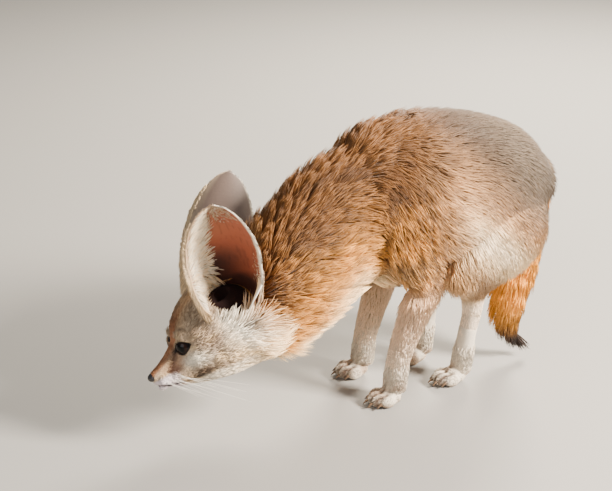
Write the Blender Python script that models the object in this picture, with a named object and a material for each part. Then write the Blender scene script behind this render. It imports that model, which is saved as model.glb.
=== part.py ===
"""Fennec fox at life size, standing on its four feet with its neck stretched forward and its head lowered.

Metres, +Z up. The fox faces -X and its left side looks towards -Y. Shapes are planned in millimetres in
the fox's own frame, whose X is zero over the fore feet, Y is zero on the midline and Z is zero on the
floor; the finished model is then moved so that its box is centred over the origin and stands on Z = 0.
"""

import math
import random

import bmesh
import bpy
import numpy as np
from mathutils import Matrix, Vector
from mathutils.bvhtree import BVHTree

MM = 0.001

# Driving sizes, in millimetres
SEAM = 0.3                  # gap that touching nodes keep
EAR_LENGTH = 94.0
EAR_HALF_WIDTH = 24.0
EYE_RADIUS = 6.6
WRIST_HEIGHT = 24.0         # level where each leg meets its paw

# Voxel size and number of triangles of each fused group
BODY_VOXEL, BODY_FACES = 3.0, 4200
HEAD_VOXEL, HEAD_FACES = 1.0, 2500
ROOM_FACES = 900            # of the space kept clear round the head
NOSE_VOXEL, NOSE_FACES = 0.45, 260
PAW_VOXEL, PAW_FACES = 1.3, 290

LATERAL = np.array([0.0, 1.0, 0.0])

# Stations of a loft: centre x, y, z, then the section's reach up, down and sideways
TORSO = [
    (-34, 0, 138, 44, 44, 34),
    (-12, 0, 140, 55, 58, 43),
    (24, 0, 144, 61, 63, 47),
    (58, 0, 148, 64, 57, 49),
    (88, 0, 147, 58, 51, 49),
    (115, 0, 144, 46, 42, 45),
    (132, 0, 141, 33, 32, 37),
]
NECK = [
    (10, 0, 146, 50, 50, 40),
    (-20, 0, 138, 52, 50, 42),
    (-46, 0, 122, 50, 50, 43),
    (-72, 0, 101, 44, 48, 42),
    (-92, 0, 84, 33, 41, 36),
]
# Left fore leg: shoulder blade, point of the shoulder, elbow, forearm, wrist, foot
FORELEG = [
    (4, -24, 168, 24, 26, 22),
    (2, -29, 138, 28, 28, 24),
    (16, -30, 112, 25, 24, 20),
    (29, -27, 90, 19, 18, 14.5),
    (23, -25, 70, 15.0, 14.0, 12.5),
    (15, -23.5, 50, 11.5, 11.5, 11.0),
    (9, -23, 32, 9.5, 10.0, 10.5),
    (6, -23, 12, 9.0, 10.0, 11.0),
]
# Left hind leg: haunch, knee, hock, foot
HAUNCH = [
    (112, -18, 148, 32, 30, 26),
    (98, -24, 130, 43, 43, 27),
    (84, -28, 108, 38, 40, 25),
    (73, -28, 88, 26, 24, 20),
    (72, -25, 70, 14.5, 13, 13),
    (72, -23, 56, 9.5, 10.5, 9.5),
    (70, -21, 38, 8.0, 8.5, 9.0),
    (68.5, -20, 22, 8.5, 8.5, 9.5),
    (67, -19, 10, 8.5, 9, 10.0),
]
KNEE = [
    (94, -26, 122, 26, 26, 24),
    (70, -30, 103, 27, 26, 23),
    (52, -31, 91, 20, 20, 19),
]
TAIL = [
    (133, 0, 148, 14, 15, 14),
    (143, 0, 130, 16, 17, 16),
    (141, -1, 108, 19, 20, 18),
    (132, -3, 84, 21, 22, 21),
    (123, -5, 62, 22, 22, 22),
    (118, -7, 42, 20, 20, 20),
    (120, -9, 26, 14, 14, 14),
    (128, -11, 14, 6, 6, 7),
]
# Where each foot stands, its size, and how far a right leg's lower end is moved from the left's mirror image
FEET = {
    "left_fore": dict(at=(4.5, -23.0), half=11.5, length=20.0),
    "right_fore": dict(at=(7.5, 27.0), half=11.5, length=20.0, shift=(4.0, 4.0)),
    "left_hind": dict(at=(64.0, -19.0), half=10.5, length=22.0),
    "right_hind": dict(at=(58.0, 24.0), half=10.5, length=22.0, shift=(-6.0, 5.0)),
}
# Each toe: forward of the foot's middle by a share of its length, across by a share of its half width, size
TOES = [(-0.40, -0.70, 0.90), (-0.62, -0.26, 1.0), (-0.62, 0.26, 1.0), (-0.40, 0.70, 0.90)]

# Cuts between the parts: a point, the normal, how far the plate reaches down and up, and its half width
NECK_CUT = ((-26, 0, 133), (-0.93, 0, -0.37), -72, 110, 80)
LOIN_CUT = ((52, 0, 140), (0.990, 0, -0.136), -66, 90, 80)
LEG_TOP = 66.0
# Where the middle of each part of the body lies, to name the pieces that the cuts leave
BODY_PARTS = {
    "torso": (15, 0, 145),
    "hindquarters": (102, 0, 140),
    "neck": (-65, 0, 110),
    "left_foreleg": (18, -25, 50),
    "right_foreleg": (14, 25, 50),
    "left_hind_leg": (72, -23, 50),
    "right_hind_leg": (68, 26, 50),
}

# Head, in its own frame: x runs back from the nose tip, y to the fox's right, z up
HEAD_NOSE = (-174.0, 0.0, 52.5)
HEAD_PITCH, HEAD_ROLL, HEAD_YAW = 24.0, 19.0, -2.0
# Sections across the head: x, then y and z of seven points down one side, from the crown to the throat
SKULL = [
    (4, [(0, 4.2), (3.2, 3.6), (4.9, 1.5), (5.7, -2), (5.3, -5.4), (3.2, -7.6), (0, -8.4)]),
    (9, [(0, 5.6), (3.8, 5.0), (6.3, 2.2), (7.9, -3), (7.7, -8.2), (4.6, -11.4), (0, -12.2)]),
    (15, [(0, 7.8), (4.4, 7.2), (7.6, 3.6), (9.8, -3.5), (9.8, -10.2), (6.0, -14.4), (0, -15.4)]),
    (21, [(0, 11.0), (5.0, 10.4), (9.6, 6.4), (12.2, -2), (12.4, -11.4), (8.0, -16.8), (0, -17.6)]),
    (26, [(0, 14.4), (5.8, 14.0), (13.2, 9.6), (15.6, 0), (15.2, -12), (10.0, -19.0), (0, -19.6)]),
    (31, [(0, 22.8), (8.0, 22.2), (17.0, 15.0), (20.6, 1), (19.0, -13), (12.5, -21.2), (0, -21.8)]),
    (37, [(0, 28.6), (12.0, 27.4), (21.5, 17.6), (25.5, 3), (23.5, -14), (15.5, -23.4), (0, -24.0)]),
    (45, [(0, 33.4), (16.0, 31.6), (26.5, 19.0), (31.0, 3), (29.5, -14.5), (19.0, -25.6), (0, -26.6)]),
    (55, [(0, 36.0), (18.0, 34.5), (29.5, 22.0), (35.5, 3), (35.0, -14.5), (22.5, -26.8), (0, -28.6)]),
    (66, [(0, 36.5), (19.0, 34.5), (31.0, 22.0), (38.0, 3), (38.0, -14), (24.5, -27.0), (0, -29.0)]),
    (78, [(0, 33.5), (18.0, 31.5), (29.5, 19.0), (36.5, 2), (36.0, -13), (24.0, -25.5), (0, -27.5)]),
    (89, [(0, 27.0), (14.5, 25.5), (24.0, 15.0), (30.0, 0), (29.0, -12), (20.0, -21.5), (0, -23.5)]),
]
EYE_CENTRE = (30.6, 11.3, 8.8)
EYE_OUT = (-0.70, 0.70, 0.12)
EAR_ROOT = (72.0, 23.0, 22.0)
MOUTH_GAP = 0.4
# Line of the mouth, x and z: from in front of the lips to the corner, then down behind the chin
MOUTH = [
    (-8, -4.0), (1.3, -5.8), (6, -8.4), (12, -10.8), (20, -12.6), (28, -13.2),
    (33, -13.6), (36.5, -17), (38, -23), (39, -34),
]
# Each ear's axis and the way its cup faces, in the head's frame, seen on the left side
EARS = {
    "left_ear": dict(side=-1, axis=(0.125, 0.570, 0.812), faces=(-0.45, 0.78, -0.44)),
    "right_ear": dict(side=1, axis=(0.673, 0.185, 0.717), faces=(0.15, 0.95, -0.20)),
}

# Locks of the long coat: how thick each is, how deep its root is sunk, and the draw that varies them
LOCK_THICK = 3.0
LOCK_SINK = 3.2
SEED = 11
# Steps along a lock, and its half width and half thickness there as shares of the whole
LOCK_STEPS = np.array([0.0, 0.34, 0.70])
LOCK_TAPER = np.array([0.66, 1.0, 0.68])
# Brush of the tail: where its rows of locks start and how many stand round it, how long each lock is as a
# share of the tail, how wide as a share of its place in the ring, and the core's share of the outline
BRUSH_ROWS = [0.13, 0.27, 0.41, 0.54, 0.67, 0.79]
BRUSH_AROUND = 6
BRUSH_LENGTH = 0.25
BRUSH_WIDTH = 0.66
BRUSH_CORE = [(0.0, 1.0), (0.12, 0.80), (0.25, 0.60), (1.0, 0.56)]
# Cheek ruff on the left of the head: x and z of each root, then the lock's length and width
CHEEK = [
    (52, -20, 18, 12), (54, -10, 19, 12), (56, 0, 19, 12),
    (65, -23, 23, 14), (68, -12, 26, 14), (71, -1, 25, 14),
]
# Breeches behind the left thigh, in rows: height, the outward places of the locks, then length and width
BREECHES = [(125, (24, 37), 31, 17), (108, (19, 31, 42), 29, 17)]

# Colours and roughness
COAT = ((0.60, 0.44, 0.28), 0.9)
COLOURS = {
    "left_eye": ((0.02, 0.012, 0.008), 0.1),
    "right_eye": ((0.02, 0.012, 0.008), 0.1),
    "nose": ((0.02, 0.018, 0.018), 0.4),
    "left_ear": ((0.55, 0.36, 0.28), 0.9),
    "right_ear": ((0.55, 0.36, 0.28), 0.9),
    "tail": ((0.62, 0.30, 0.10), 0.9),
}


def clear_scene():
    """Remove every object, so that the model starts from nothing."""
    for obj in list(bpy.data.objects):
        bpy.data.objects.remove(obj)


def unit(vector):
    """A vector at length one."""
    vector = np.asarray(vector, float)
    return vector / np.linalg.norm(vector)


def smooth_rows(rows, count):
    """Rows of numbers read at count even steps of a cubic curve through them, spaced by their centres."""
    rows = np.asarray(rows, float)
    knots = np.concatenate([[0.0], np.cumsum(np.linalg.norm(np.diff(rows[:, :3], axis=0), axis=1))])
    slopes = np.gradient(rows, knots, axis=0)
    along = np.linspace(0.0, knots[-1], count)
    i = np.clip(np.searchsorted(knots, along, side="right") - 1, 0, len(knots) - 2)
    span = (knots[i + 1] - knots[i])[:, None]
    t = ((along - knots[i])[:, None]) / span
    return (
        rows[i] * (2 * t**3 - 3 * t**2 + 1)
        + slopes[i] * span * (t**3 - 2 * t**2 + t)
        + rows[i + 1] * (3 * t**2 - 2 * t**3)
        + slopes[i + 1] * span * (t**3 - t**2)
    )


def mesh_object(name, points, faces):
    """A mesh object from points in millimetres, with its faces turned outwards."""
    mesh = bpy.data.meshes.new(name)
    mesh.from_pydata((np.asarray(points) * MM).tolist(), [], faces)
    bm = bmesh.new()
    bm.from_mesh(mesh)
    bmesh.ops.recalc_face_normals(bm, faces=bm.faces)
    if bm.calc_volume(signed=True) < 0:
        bmesh.ops.reverse_faces(bm, faces=bm.faces)
    bm.to_mesh(mesh)
    bm.free()
    obj = bpy.data.objects.new(name, mesh)
    bpy.context.scene.collection.objects.link(obj)
    return obj


def tube_faces(rings, around):
    """Faces of a closed tube of rings, with a pole at each end: the poles are the last two points."""
    i = np.arange(rings - 1)[:, None] * around
    j = np.arange(around)[None, :]
    k = (j + 1) % around
    quads = np.stack([i + j, i + k, i + around + k, i + around + j], axis=-1).reshape(-1, 4).tolist()
    first, last = rings * around, rings * around + 1
    end = (rings - 1) * around
    fans = [[first, (n + 1) % around, n] for n in range(around)]
    fans += [[last, end + n, end + (n + 1) % around] for n in range(around)]
    return quads + fans


def frames(centres):
    """Unit tangents of a path, and its sideways and upward directions."""
    tangents = unit_rows(np.gradient(centres, axis=0))
    across = unit_rows(LATERAL - tangents * (tangents @ LATERAL)[:, None])
    return tangents, across, np.cross(across, tangents)


def tube_points(stations, around, count, grow=0.0, cap_rings=3):
    """Points of a tube through stations, with rounded ends, and its poles at the end of the list."""
    rows = smooth_rows(stations, count)
    centres, up, down, side = rows[:, :3], rows[:, 3] + grow, rows[:, 4] + grow, rows[:, 5] + grow
    tangents, across, upward = frames(centres)
    angle = 2 * np.pi * np.arange(around) / around
    rise = np.sin(angle)

    def ring(n, shrink, push):
        height = np.where(rise >= 0, up[n], down[n]) * rise
        flat = np.cos(angle)[:, None] * side[n] * across[n] + height[:, None] * upward[n]
        return centres[n] + tangents[n] * push + flat * shrink

    turns = np.radians(np.linspace(90, 0, cap_rings + 2)[1:-1])
    reach = 0.6 * min(up[0], down[0], side[0]), 0.6 * min(up[-1], down[-1], side[-1])
    rings = [ring(0, math.cos(a), -math.sin(a) * reach[0]) for a in turns]
    rings += [ring(n, 1.0, 0.0) for n in range(count)]
    rings += [ring(count - 1, math.cos(a), math.sin(a) * reach[1]) for a in turns[::-1]]
    poles = [centres[0] - tangents[0] * reach[0], centres[-1] + tangents[-1] * reach[1]]
    return np.vstack([*rings, *poles]), len(rings)


def tube(name, stations, around=24, count=16, **shape):
    """A closed tube with rounded ends through stations of centre, reach up, down and sideways."""
    points, rings = tube_points(stations, around, count, **shape)
    return mesh_object(name, points, tube_faces(rings, around))


def blob(name, centre, radii, turn=None, detail=3):
    """An ellipsoid with its half axes along x, y and z, turned by a 3 by 3 matrix if one is given."""
    bm = bmesh.new()
    bmesh.ops.create_icosphere(bm, subdivisions=detail, radius=1.0)
    points = np.array([v.co for v in bm.verts]) * np.asarray(radii)
    faces = [[v.index for v in f.verts] for f in bm.faces]
    bm.free()
    if turn is not None:
        points = points @ np.asarray(turn).T
    return mesh_object(name, points + np.asarray(centre), faces)


def mirrored(stations, shift=(0.0, 0.0), fade=120.0):
    """The stations of a left limb made a right one, with the foot moved by shift and the root left alone."""
    rows = []
    for x, y, z, *reach in stations:
        share = min(1.0, max(0.0, 1.0 - z / fade))
        rows.append((x + shift[0] * share, -y + shift[1] * share, z, *reach))
    return rows


def evaluated(obj, name):
    """A new object with the mesh that obj's modifiers give, and obj removed."""
    graph = bpy.context.evaluated_depsgraph_get()
    mesh = bpy.data.meshes.new_from_object(obj.evaluated_get(graph))
    made = bpy.data.objects.new(name, mesh)
    bpy.context.scene.collection.objects.link(made)
    bpy.data.objects.remove(obj)
    return made


def joined(name, objects):
    """One object holding the separate closed shells of several."""
    bm = bmesh.new()
    for obj in objects:
        bm.from_mesh(obj.data)
        bpy.data.objects.remove(obj)
    mesh = bpy.data.meshes.new(name)
    bm.to_mesh(mesh)
    bm.free()
    made = bpy.data.objects.new(name, mesh)
    bpy.context.scene.collection.objects.link(made)
    return made


def fused(name, objects, voxel, rounds, faces):
    """Overlapping closed shells made one smooth skin of a set number of triangles."""
    whole = joined(name + "_shells", objects)
    remesh = whole.modifiers.new("remesh", "REMESH")
    remesh.mode = "VOXEL"
    remesh.voxel_size = voxel * MM
    smooth = whole.modifiers.new("smooth", "SMOOTH")
    smooth.factor = 0.5
    smooth.iterations = rounds
    skin = evaluated(whole, name + "_skin")
    thin = skin.modifiers.new("thin", "DECIMATE")
    thin.ratio = min(1.0, faces / (2 * len(skin.data.polygons)))
    return largest_piece(evaluated(skin, name))


def boolean(obj, other, operation, keep_other=False, solver="EXACT"):
    """obj joined with, cut by or kept inside other, as a new object of obj's name."""
    name = obj.name
    step = obj.modifiers.new("step", "BOOLEAN")
    step.operation = operation
    step.object = other
    step.solver = solver
    made = evaluated(obj, name + "_")
    if not keep_other:
        bpy.data.objects.remove(other)
    made.name = name
    return made


def boolean_all(obj, others, operation, solver="MANIFOLD"):
    """obj joined with or cut by a whole list of closed objects in one step, which are then removed."""
    name = obj.name
    group = bpy.data.collections.new("pieces")
    bpy.context.scene.collection.children.link(group)
    for other in others:
        group.objects.link(other)
    step = obj.modifiers.new("step", "BOOLEAN")
    step.operation = operation
    step.operand_type = "COLLECTION"
    step.collection = group
    step.solver = solver
    made = evaluated(obj, name + "_")
    for other in others:
        bpy.data.objects.remove(other)
    bpy.data.collections.remove(group)
    made.name = name
    return made


def copy_of(obj, name):
    """A copy of an object with its own mesh."""
    made = bpy.data.objects.new(name, obj.data.copy())
    bpy.context.scene.collection.objects.link(made)
    return made


def grown(obj, name, by):
    """A copy of obj with its surface moved out by a distance in millimetres."""
    made = copy_of(obj, name)
    push = made.modifiers.new("grow", "DISPLACE")
    push.strength = by * MM
    push.mid_level = 0.0
    return evaluated(made, name)


def shells_of(bm):
    """Groups of faces that meet at edges shared by just two of them, largest first."""
    seen, groups = set(), []
    for start in bm.faces:
        if start in seen:
            continue
        stack, group = [start], []
        seen.add(start)
        while stack:
            face = stack.pop()
            group.append(face)
            for edge in face.edges:
                if len(edge.link_faces) != 2:
                    continue
                for other in edge.link_faces:
                    if other not in seen:
                        seen.add(other)
                        stack.append(other)
        groups.append(group)
    return sorted(groups, key=len, reverse=True)


def cleaned(obj):
    """obj's mesh as triangles with its doubled points merged, for editing."""
    bm = bmesh.new()
    bm.from_mesh(obj.data)
    bmesh.ops.remove_doubles(bm, verts=bm.verts, dist=0.00002)
    bmesh.ops.triangulate(bm, faces=bm.faces)
    return bm


def largest_piece(obj):
    """Keep only the largest closed surface of obj's mesh."""
    bm = cleaned(obj)
    scraps = [face for group in shells_of(bm)[1:] for face in group]
    bmesh.ops.delete(bm, geom=scraps, context="FACES")
    bm.to_mesh(obj.data)
    bm.free()
    return obj


def lock_solid(name, rings, root, tip):
    """A closed lock from rings of four points along it, a pole inside its root and its tip."""
    points = np.vstack([*rings, root, tip])
    return mesh_object(name, points, tube_faces(len(rings), 4))


def lock(surface, root, lie, length, width, lift, turn, cling=1.0, more=0.0):
    """A flat, tapered lock, rooted under the surface at root, that lies along it and turns aside.

    Its middle line is root + lie * length * t + aside * turn * t * t, drawn to the surface by the share
    cling and raised from it along the normal by a rise that grows from under the surface up to lift.
    """
    _, normal = surface(root)
    lie = unit(np.asarray(lie) - normal * (np.asarray(lie) @ normal))
    aside = np.cross(normal, lie)
    line, outward = [], []
    for t in (*LOCK_STEPS, 1.0):
        straight = root + lie * length * t + aside * turn * t * t
        place, out = surface(straight)
        rise = np.interp(t, [0, 0.34, 0.7, 1.0], [-LOCK_SINK, 0.35 * lift, 0.85 * lift, lift])
        outward.append(unit(out * cling + normal * (1 - cling)))
        line.append(place * cling + straight * (1 - cling) + outward[-1] * rise)
    line, outward = np.array(line), np.array(outward)
    aside = unit_rows(np.cross(outward, np.gradient(line, axis=0)))[:-1]
    half = LOCK_TAPER[:, None] * width / 2 + more
    deep = LOCK_TAPER[:, None] * LOCK_THICK / 2 + more
    middle, up = line[:-1], outward[:-1]
    corners = [middle + aside * half, middle + up * deep, middle - aside * half, middle - up * deep]
    rings = np.stack(corners, axis=1)
    return lock_solid("lock", rings, line[0] - lie, line[-1] + lie * more * 2)


def surface_of(obj):
    """Two finders on obj, in millimetres: the nearest point and normal, and where a ray first meets it."""
    bm = bmesh.new()
    bm.from_mesh(obj.data)
    tree = BVHTree.FromBMesh(bm)
    bm.free()

    def nearest(point):
        place, normal, _, _ = tree.find_nearest(Vector(point) * MM)
        return np.array(place) / MM, np.array(normal)

    def met(point, way):
        place, _, _, _ = tree.ray_cast(Vector(point) * MM, Vector(way))
        return np.array(place) / MM

    return nearest, met


def box(name, low, high, turn=None, centre=(0, 0, 0)):
    """A box between two corners, turned about a centre if a 3 by 3 matrix is given."""
    spans = list(zip(low, high))
    corners = np.array([[x, y, z] for x in spans[0] for y in spans[1] for z in spans[2]])
    if turn is not None:
        corners = corners @ np.asarray(turn).T
    faces = [[0, 1, 3, 2], [4, 6, 7, 5], [0, 4, 5, 1], [2, 3, 7, 6], [0, 2, 6, 4], [1, 5, 7, 3]]
    return mesh_object(name, corners + np.asarray(centre), faces)


def head_matrix():
    """The head's rotation: rolled, then pitched nose down, then turned."""
    roll = Matrix.Rotation(math.radians(-HEAD_ROLL), 3, "X")
    pitch = Matrix.Rotation(math.radians(-HEAD_PITCH), 3, "Y")
    yaw = Matrix.Rotation(math.radians(HEAD_YAW), 3, "Z")
    return np.array(yaw @ pitch @ roll)


def head_points(points):
    """Points of the head's own frame, in the fox's frame."""
    return np.asarray(points, float) @ head_matrix().T + np.asarray(HEAD_NOSE)


def placed_on_head(obj):
    """Move an object that was made in the head's frame to its place."""
    turn = Matrix(head_matrix().tolist()).to_4x4()
    obj.data.transform(Matrix.Translation(Vector(HEAD_NOSE) * MM) @ turn)
    return obj


def eye_centre(side):
    """The centre of an eyeball in the head's frame: side is -1 on the left and 1 on the right."""
    x, y, z = EYE_CENTRE
    return np.array([x, side * y, z])


def eye_axis(side):
    """The way an eye looks, in the head's frame."""
    x, y, z = EYE_OUT
    return unit([x, side * y, z])


def make_skull():
    """The head's main form: sections across it, each a smooth closed curve, with rounded ends."""
    xs = np.array([x for x, _ in SKULL], float)
    sides = np.array([points for _, points in SKULL], float)
    mirror = sides[:, -2:0:-1] * np.array([-1.0, 1.0])
    loops = np.concatenate([sides, mirror], axis=1)
    rows = np.concatenate([xs[:, None], np.zeros((len(xs), 2)), loops.reshape(len(xs), -1)], axis=1)
    rows = smooth_rows(rows, 44)
    rings = []
    for row in rows:
        loop = closed_curve(row[3:].reshape(-1, 2), 4)
        rings.append(np.column_stack([np.full(len(loop), row[0]), loop]))
    front, back = rings[0], rings[-1]
    rings = [capped(front, -3.4, a) for a in (80, 62, 42, 20)] + rings
    rings += [capped(back, 9.0, a) for a in (20, 42, 62, 80)]
    poles = [front.mean(axis=0) + (-3.4, 0, 0), back.mean(axis=0) + (9.0, 0, 0)]
    return mesh_object("skull", np.vstack([*rings, *poles]), tube_faces(len(rings), len(front)))


def capped(ring, reach, degrees):
    """A ring of a rounded end: moved along x and drawn in, as on an ellipsoid that bulges by reach."""
    turn = math.radians(degrees)
    middle = ring.mean(axis=0)
    return middle + (ring - middle) * math.cos(turn) + np.array([reach * math.sin(turn), 0, 0])


def closed_curve(points, steps):
    """A closed Catmull-Rom curve through points, with so many steps from each to the next."""
    a, b, c, d = (np.roll(points, shift, axis=0)[:, None] for shift in (1, 0, -1, -2))
    t = (np.arange(steps) / steps)[None, :, None]
    curve = b + 0.5 * t * (c - a + t * (2 * a - 5 * b + 4 * c - d + t * (3 * (b - c) + d - a)))
    return curve.reshape(-1, points.shape[1])


def make_head_shells():
    """The closed shells of the head, which are then fused: skull, brows, muzzle pads, chin and lids."""
    shells = [make_skull()]
    for side in (-1, 1):
        shells.append(blob("brow", (33.5, side * 11.2, 16.8), (6.5, 6.0, 3.8)))
        shells.append(blob("pad", (10, side * 4.6, -4.4), (7.5, 4.6, 5.4)))
        shells.append(lid_ring(side))
    shells.append(blob("chin", (8, 0, -9.0), (7, 4.6, 2.8)))
    return shells


def lid_ring(side):
    """The lids: a ring round the eyeball, drawn out towards the corners of the eye."""
    centre, out = eye_centre(side), eye_axis(side)
    forward = unit(np.array([-1.0, 0.0, -0.10]) - out * (np.array([-1.0, 0.0, -0.10]) @ out))
    upward = np.cross(out, forward) * side
    turns, sides = 28, 8
    a = 2 * np.pi * np.arange(turns) / turns
    b = 2 * np.pi * np.arange(sides) / sides
    line = (
        centre
        + forward * (6.9 * np.cos(a))[:, None]
        + upward * (5.4 * np.sin(a))[:, None]
        + out * 4.4
    )
    radial = unit_rows(line - centre - out * ((line - centre) @ out)[:, None])
    ring = line[:, None] + 1.2 * (np.cos(b)[None, :, None] * radial[:, None] + np.sin(b)[None, :, None] * out)
    i = np.arange(turns)[:, None] * sides
    j = np.arange(sides)[None, :]
    k = (j + 1) % sides
    m = ((np.arange(turns)[:, None] + 1) % turns) * sides
    faces = np.stack([i + j, i + k, m + k, m + j], axis=-1).reshape(-1, 4).tolist()
    return mesh_object("lid", ring.reshape(-1, 3), faces)


def unit_rows(rows):
    """Each row at length one."""
    return rows / np.linalg.norm(rows, axis=-1)[..., None]


def mouth_cutter():
    """A thin sheet along the line of the mouth, which turns down behind its corner and frees the jaw."""
    line = smooth_rows([(x, 0.0, z) for x, z in MOUTH], 26)[:, [0, 2]]
    step = np.gradient(line, axis=0)
    side = np.stack([-step[:, 1], step[:, 0]], axis=1)
    side = unit_rows(side) * (MOUTH_GAP / 2)
    loop = np.vstack([line + side, (line - side)[::-1]])
    count = len(loop)
    points = [(x, y, z) for y in (-50.0, 50.0) for x, z in loop]
    faces = [[n, (n + 1) % count, count + (n + 1) % count, count + n] for n in range(count)]
    half = count // 2
    for n in range(half - 1):
        a, b, c, d = n, n + 1, count - 2 - n, count - 1 - n
        faces += [[a, b, c, d], [count + a, count + d, count + c, count + b]]
    return mesh_object("mouth_cutter", points, faces)


def make_nose():
    """The nose pad, with a nostril in each side of its front."""
    shells = [blob("pad", (2.2, 0, 0.3), (3.5, 3.6, 3.0))]
    for side in (-1, 1):
        shells.append(blob("wing", (2.2, side * 2.3, -0.1), (2.7, 1.9, 2.2)))
    nose = fused("nose", shells, NOSE_VOXEL, 2, NOSE_FACES)
    for side in (-1, 1):
        nostril = blob("nostril", (-0.9, side * 2.1, -0.3), (1.7, 1.0, 0.8), detail=1)
        nose = boolean(nose, nostril, "DIFFERENCE")
    return nose


def ear_frame(spec):
    """An ear's root, its axis, the way its cup faces and the direction across it, in the head's frame."""
    side = spec["side"]
    mirror = np.array([1.0, side, 1.0])
    axis = unit(np.array(spec["axis"]) * mirror)
    faces = np.array(spec["faces"]) * mirror
    faces = unit(faces - axis * (faces @ axis))
    return np.array(EAR_ROOT) * mirror, axis, faces, np.cross(axis, faces)


def ear_hollow(spec):
    """The bottom of an ear's cup, which is sunk in the head."""
    root, axis, faces, across = ear_frame(spec)
    turn = np.stack([axis, faces, across], axis=1)
    return blob("ear_hollow", root + axis * 13.0 + faces * 1.5, (20.0, 14.5, 15.0), turn, detail=2)


def ear_grid(spec, lengthwise=13, across=9, wide=0.0):
    """Middle surface of an ear cup as a grid in the head's frame: from root to tip, and margin to margin.

    A section at each height is an arc. Near the root it closes round almost to a tube, and it opens to
    a shallow leaf towards the rounded tip.
    """
    root, axis, faces, sideways = ear_frame(spec)
    even = np.linspace(0.0, 1.0, lengthwise)
    u = 0.5 * even + 0.5 * np.sin(0.5 * np.pi * even)
    height = EAR_LENGTH * u - 9.0
    half = EAR_HALF_WIDTH * np.interp(
        u,
        [0, 0.12, 0.3, 0.5, 0.65, 0.8, 0.9, 0.96, 1.0],
        [0.60, 0.80, 0.96, 1.0, 0.93, 0.74, 0.53, 0.34, 0.10],
    )
    opening = np.interp(u, [0, 0.12, 0.3, 0.55, 0.8, 1.0], [2.45, 2.0, 1.45, 1.12, 0.85, 0.5])
    radius = half / np.sin(np.minimum(opening, np.pi / 2))
    bow = 5.0 * np.sin(np.pi * u) - 3.0 * u**2
    v = np.linspace(-1.0, 1.0, across)
    if wide:
        v = np.concatenate([[-wide], v, [wide]])
    angle = v[None, :] * opening[:, None]
    out = radius[:, None] * (1 - np.cos(angle)) - bow[:, None] - (radius[0] * (1 - u))[:, None]
    return (
        root
        + axis * height[:, None, None]
        + sideways * (radius[:, None] * np.sin(angle))[..., None]
        + faces * out[..., None]
    )


def sheet_solid(name, grid, thick):
    """A grid surface given a thickness, both faces split alike, as a closed mesh."""
    along = np.gradient(grid, axis=0)
    across = np.gradient(grid, axis=1)
    normal = unit_rows(np.cross(along, across))
    outer = grid + normal * thick[..., None] / 2
    inner = grid - normal * thick[..., None] / 2
    rows, cols = grid.shape[:2]
    count = rows * cols
    faces = []
    for i in range(rows - 1):
        for j in range(cols - 1):
            a, b, c, d = i * cols + j, i * cols + j + 1, (i + 1) * cols + j + 1, (i + 1) * cols + j
            faces += [[a, b, c], [a, c, d]]
            faces += [[count + a, count + c, count + b], [count + a, count + d, count + c]]
    edge = [j for j in range(cols)]
    edge += [i * cols + cols - 1 for i in range(1, rows)]
    edge += [(rows - 1) * cols + j for j in range(cols - 2, -1, -1)]
    edge += [i * cols for i in range(rows - 2, 0, -1)]
    for n, a in enumerate(edge):
        b = edge[(n + 1) % len(edge)]
        faces += [[a, count + a, count + b], [a, count + b, b]]
    return mesh_object(name, np.vstack([outer.reshape(-1, 3), inner.reshape(-1, 3)]), faces)


def ear_sheet(name, spec, more=0.0, wide=0.0):
    """An ear's wall, thickest at its root, made thicker and wider if asked."""
    grid = ear_grid(spec, wide=wide)
    rows, cols = grid.shape[:2]
    thick = np.linspace(3.2, 1.8, rows)[:, None] * np.ones(cols) + more
    return placed_on_head(sheet_solid(name, grid, thick))


def make_ear(name, spec, head_room):
    """One ear cup, which stops just clear of the head."""
    ear = ear_sheet(name, spec)
    return largest_piece(boolean(ear, head_room, "DIFFERENCE", keep_other=True))


def ear_room(spec):
    """The space that an ear's cup takes up, filled, so that the neck can be kept out of it."""
    grid = ear_grid(spec)[:10].reshape(-1, 3)
    bm = bmesh.new()
    verts = [bm.verts.new(point) for point in head_points(grid)]
    bmesh.ops.convex_hull(bm, input=verts)
    bmesh.ops.delete(bm, geom=[v for v in bm.verts if not v.link_faces], context="VERTS")
    bm.verts.index_update()
    points = [tuple(v.co) for v in bm.verts]
    faces = [[v.index for v in f.verts] for f in bm.faces]
    bm.free()
    return mesh_object("ear_room", points, faces)


def cheek_locks(surface, more=0.0):
    """The locks of both cheeks in the head's frame, made larger all round if asked."""
    draw = random.Random(SEED)
    nearest, met = surface
    made = []
    for side in (-1, 1):
        for x, z, length, width in CHEEK:
            root = met((x, side * 80, z), (0, -side, 0))
            lie = (0.86, side * 0.30, -0.40)
            turn, longer = draw.uniform(-3, 3), draw.uniform(0.9, 1.15)
            made.append(lock(nearest, root, lie, length * longer, width, 4.4, turn, 0.45, more))
    return made


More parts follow.
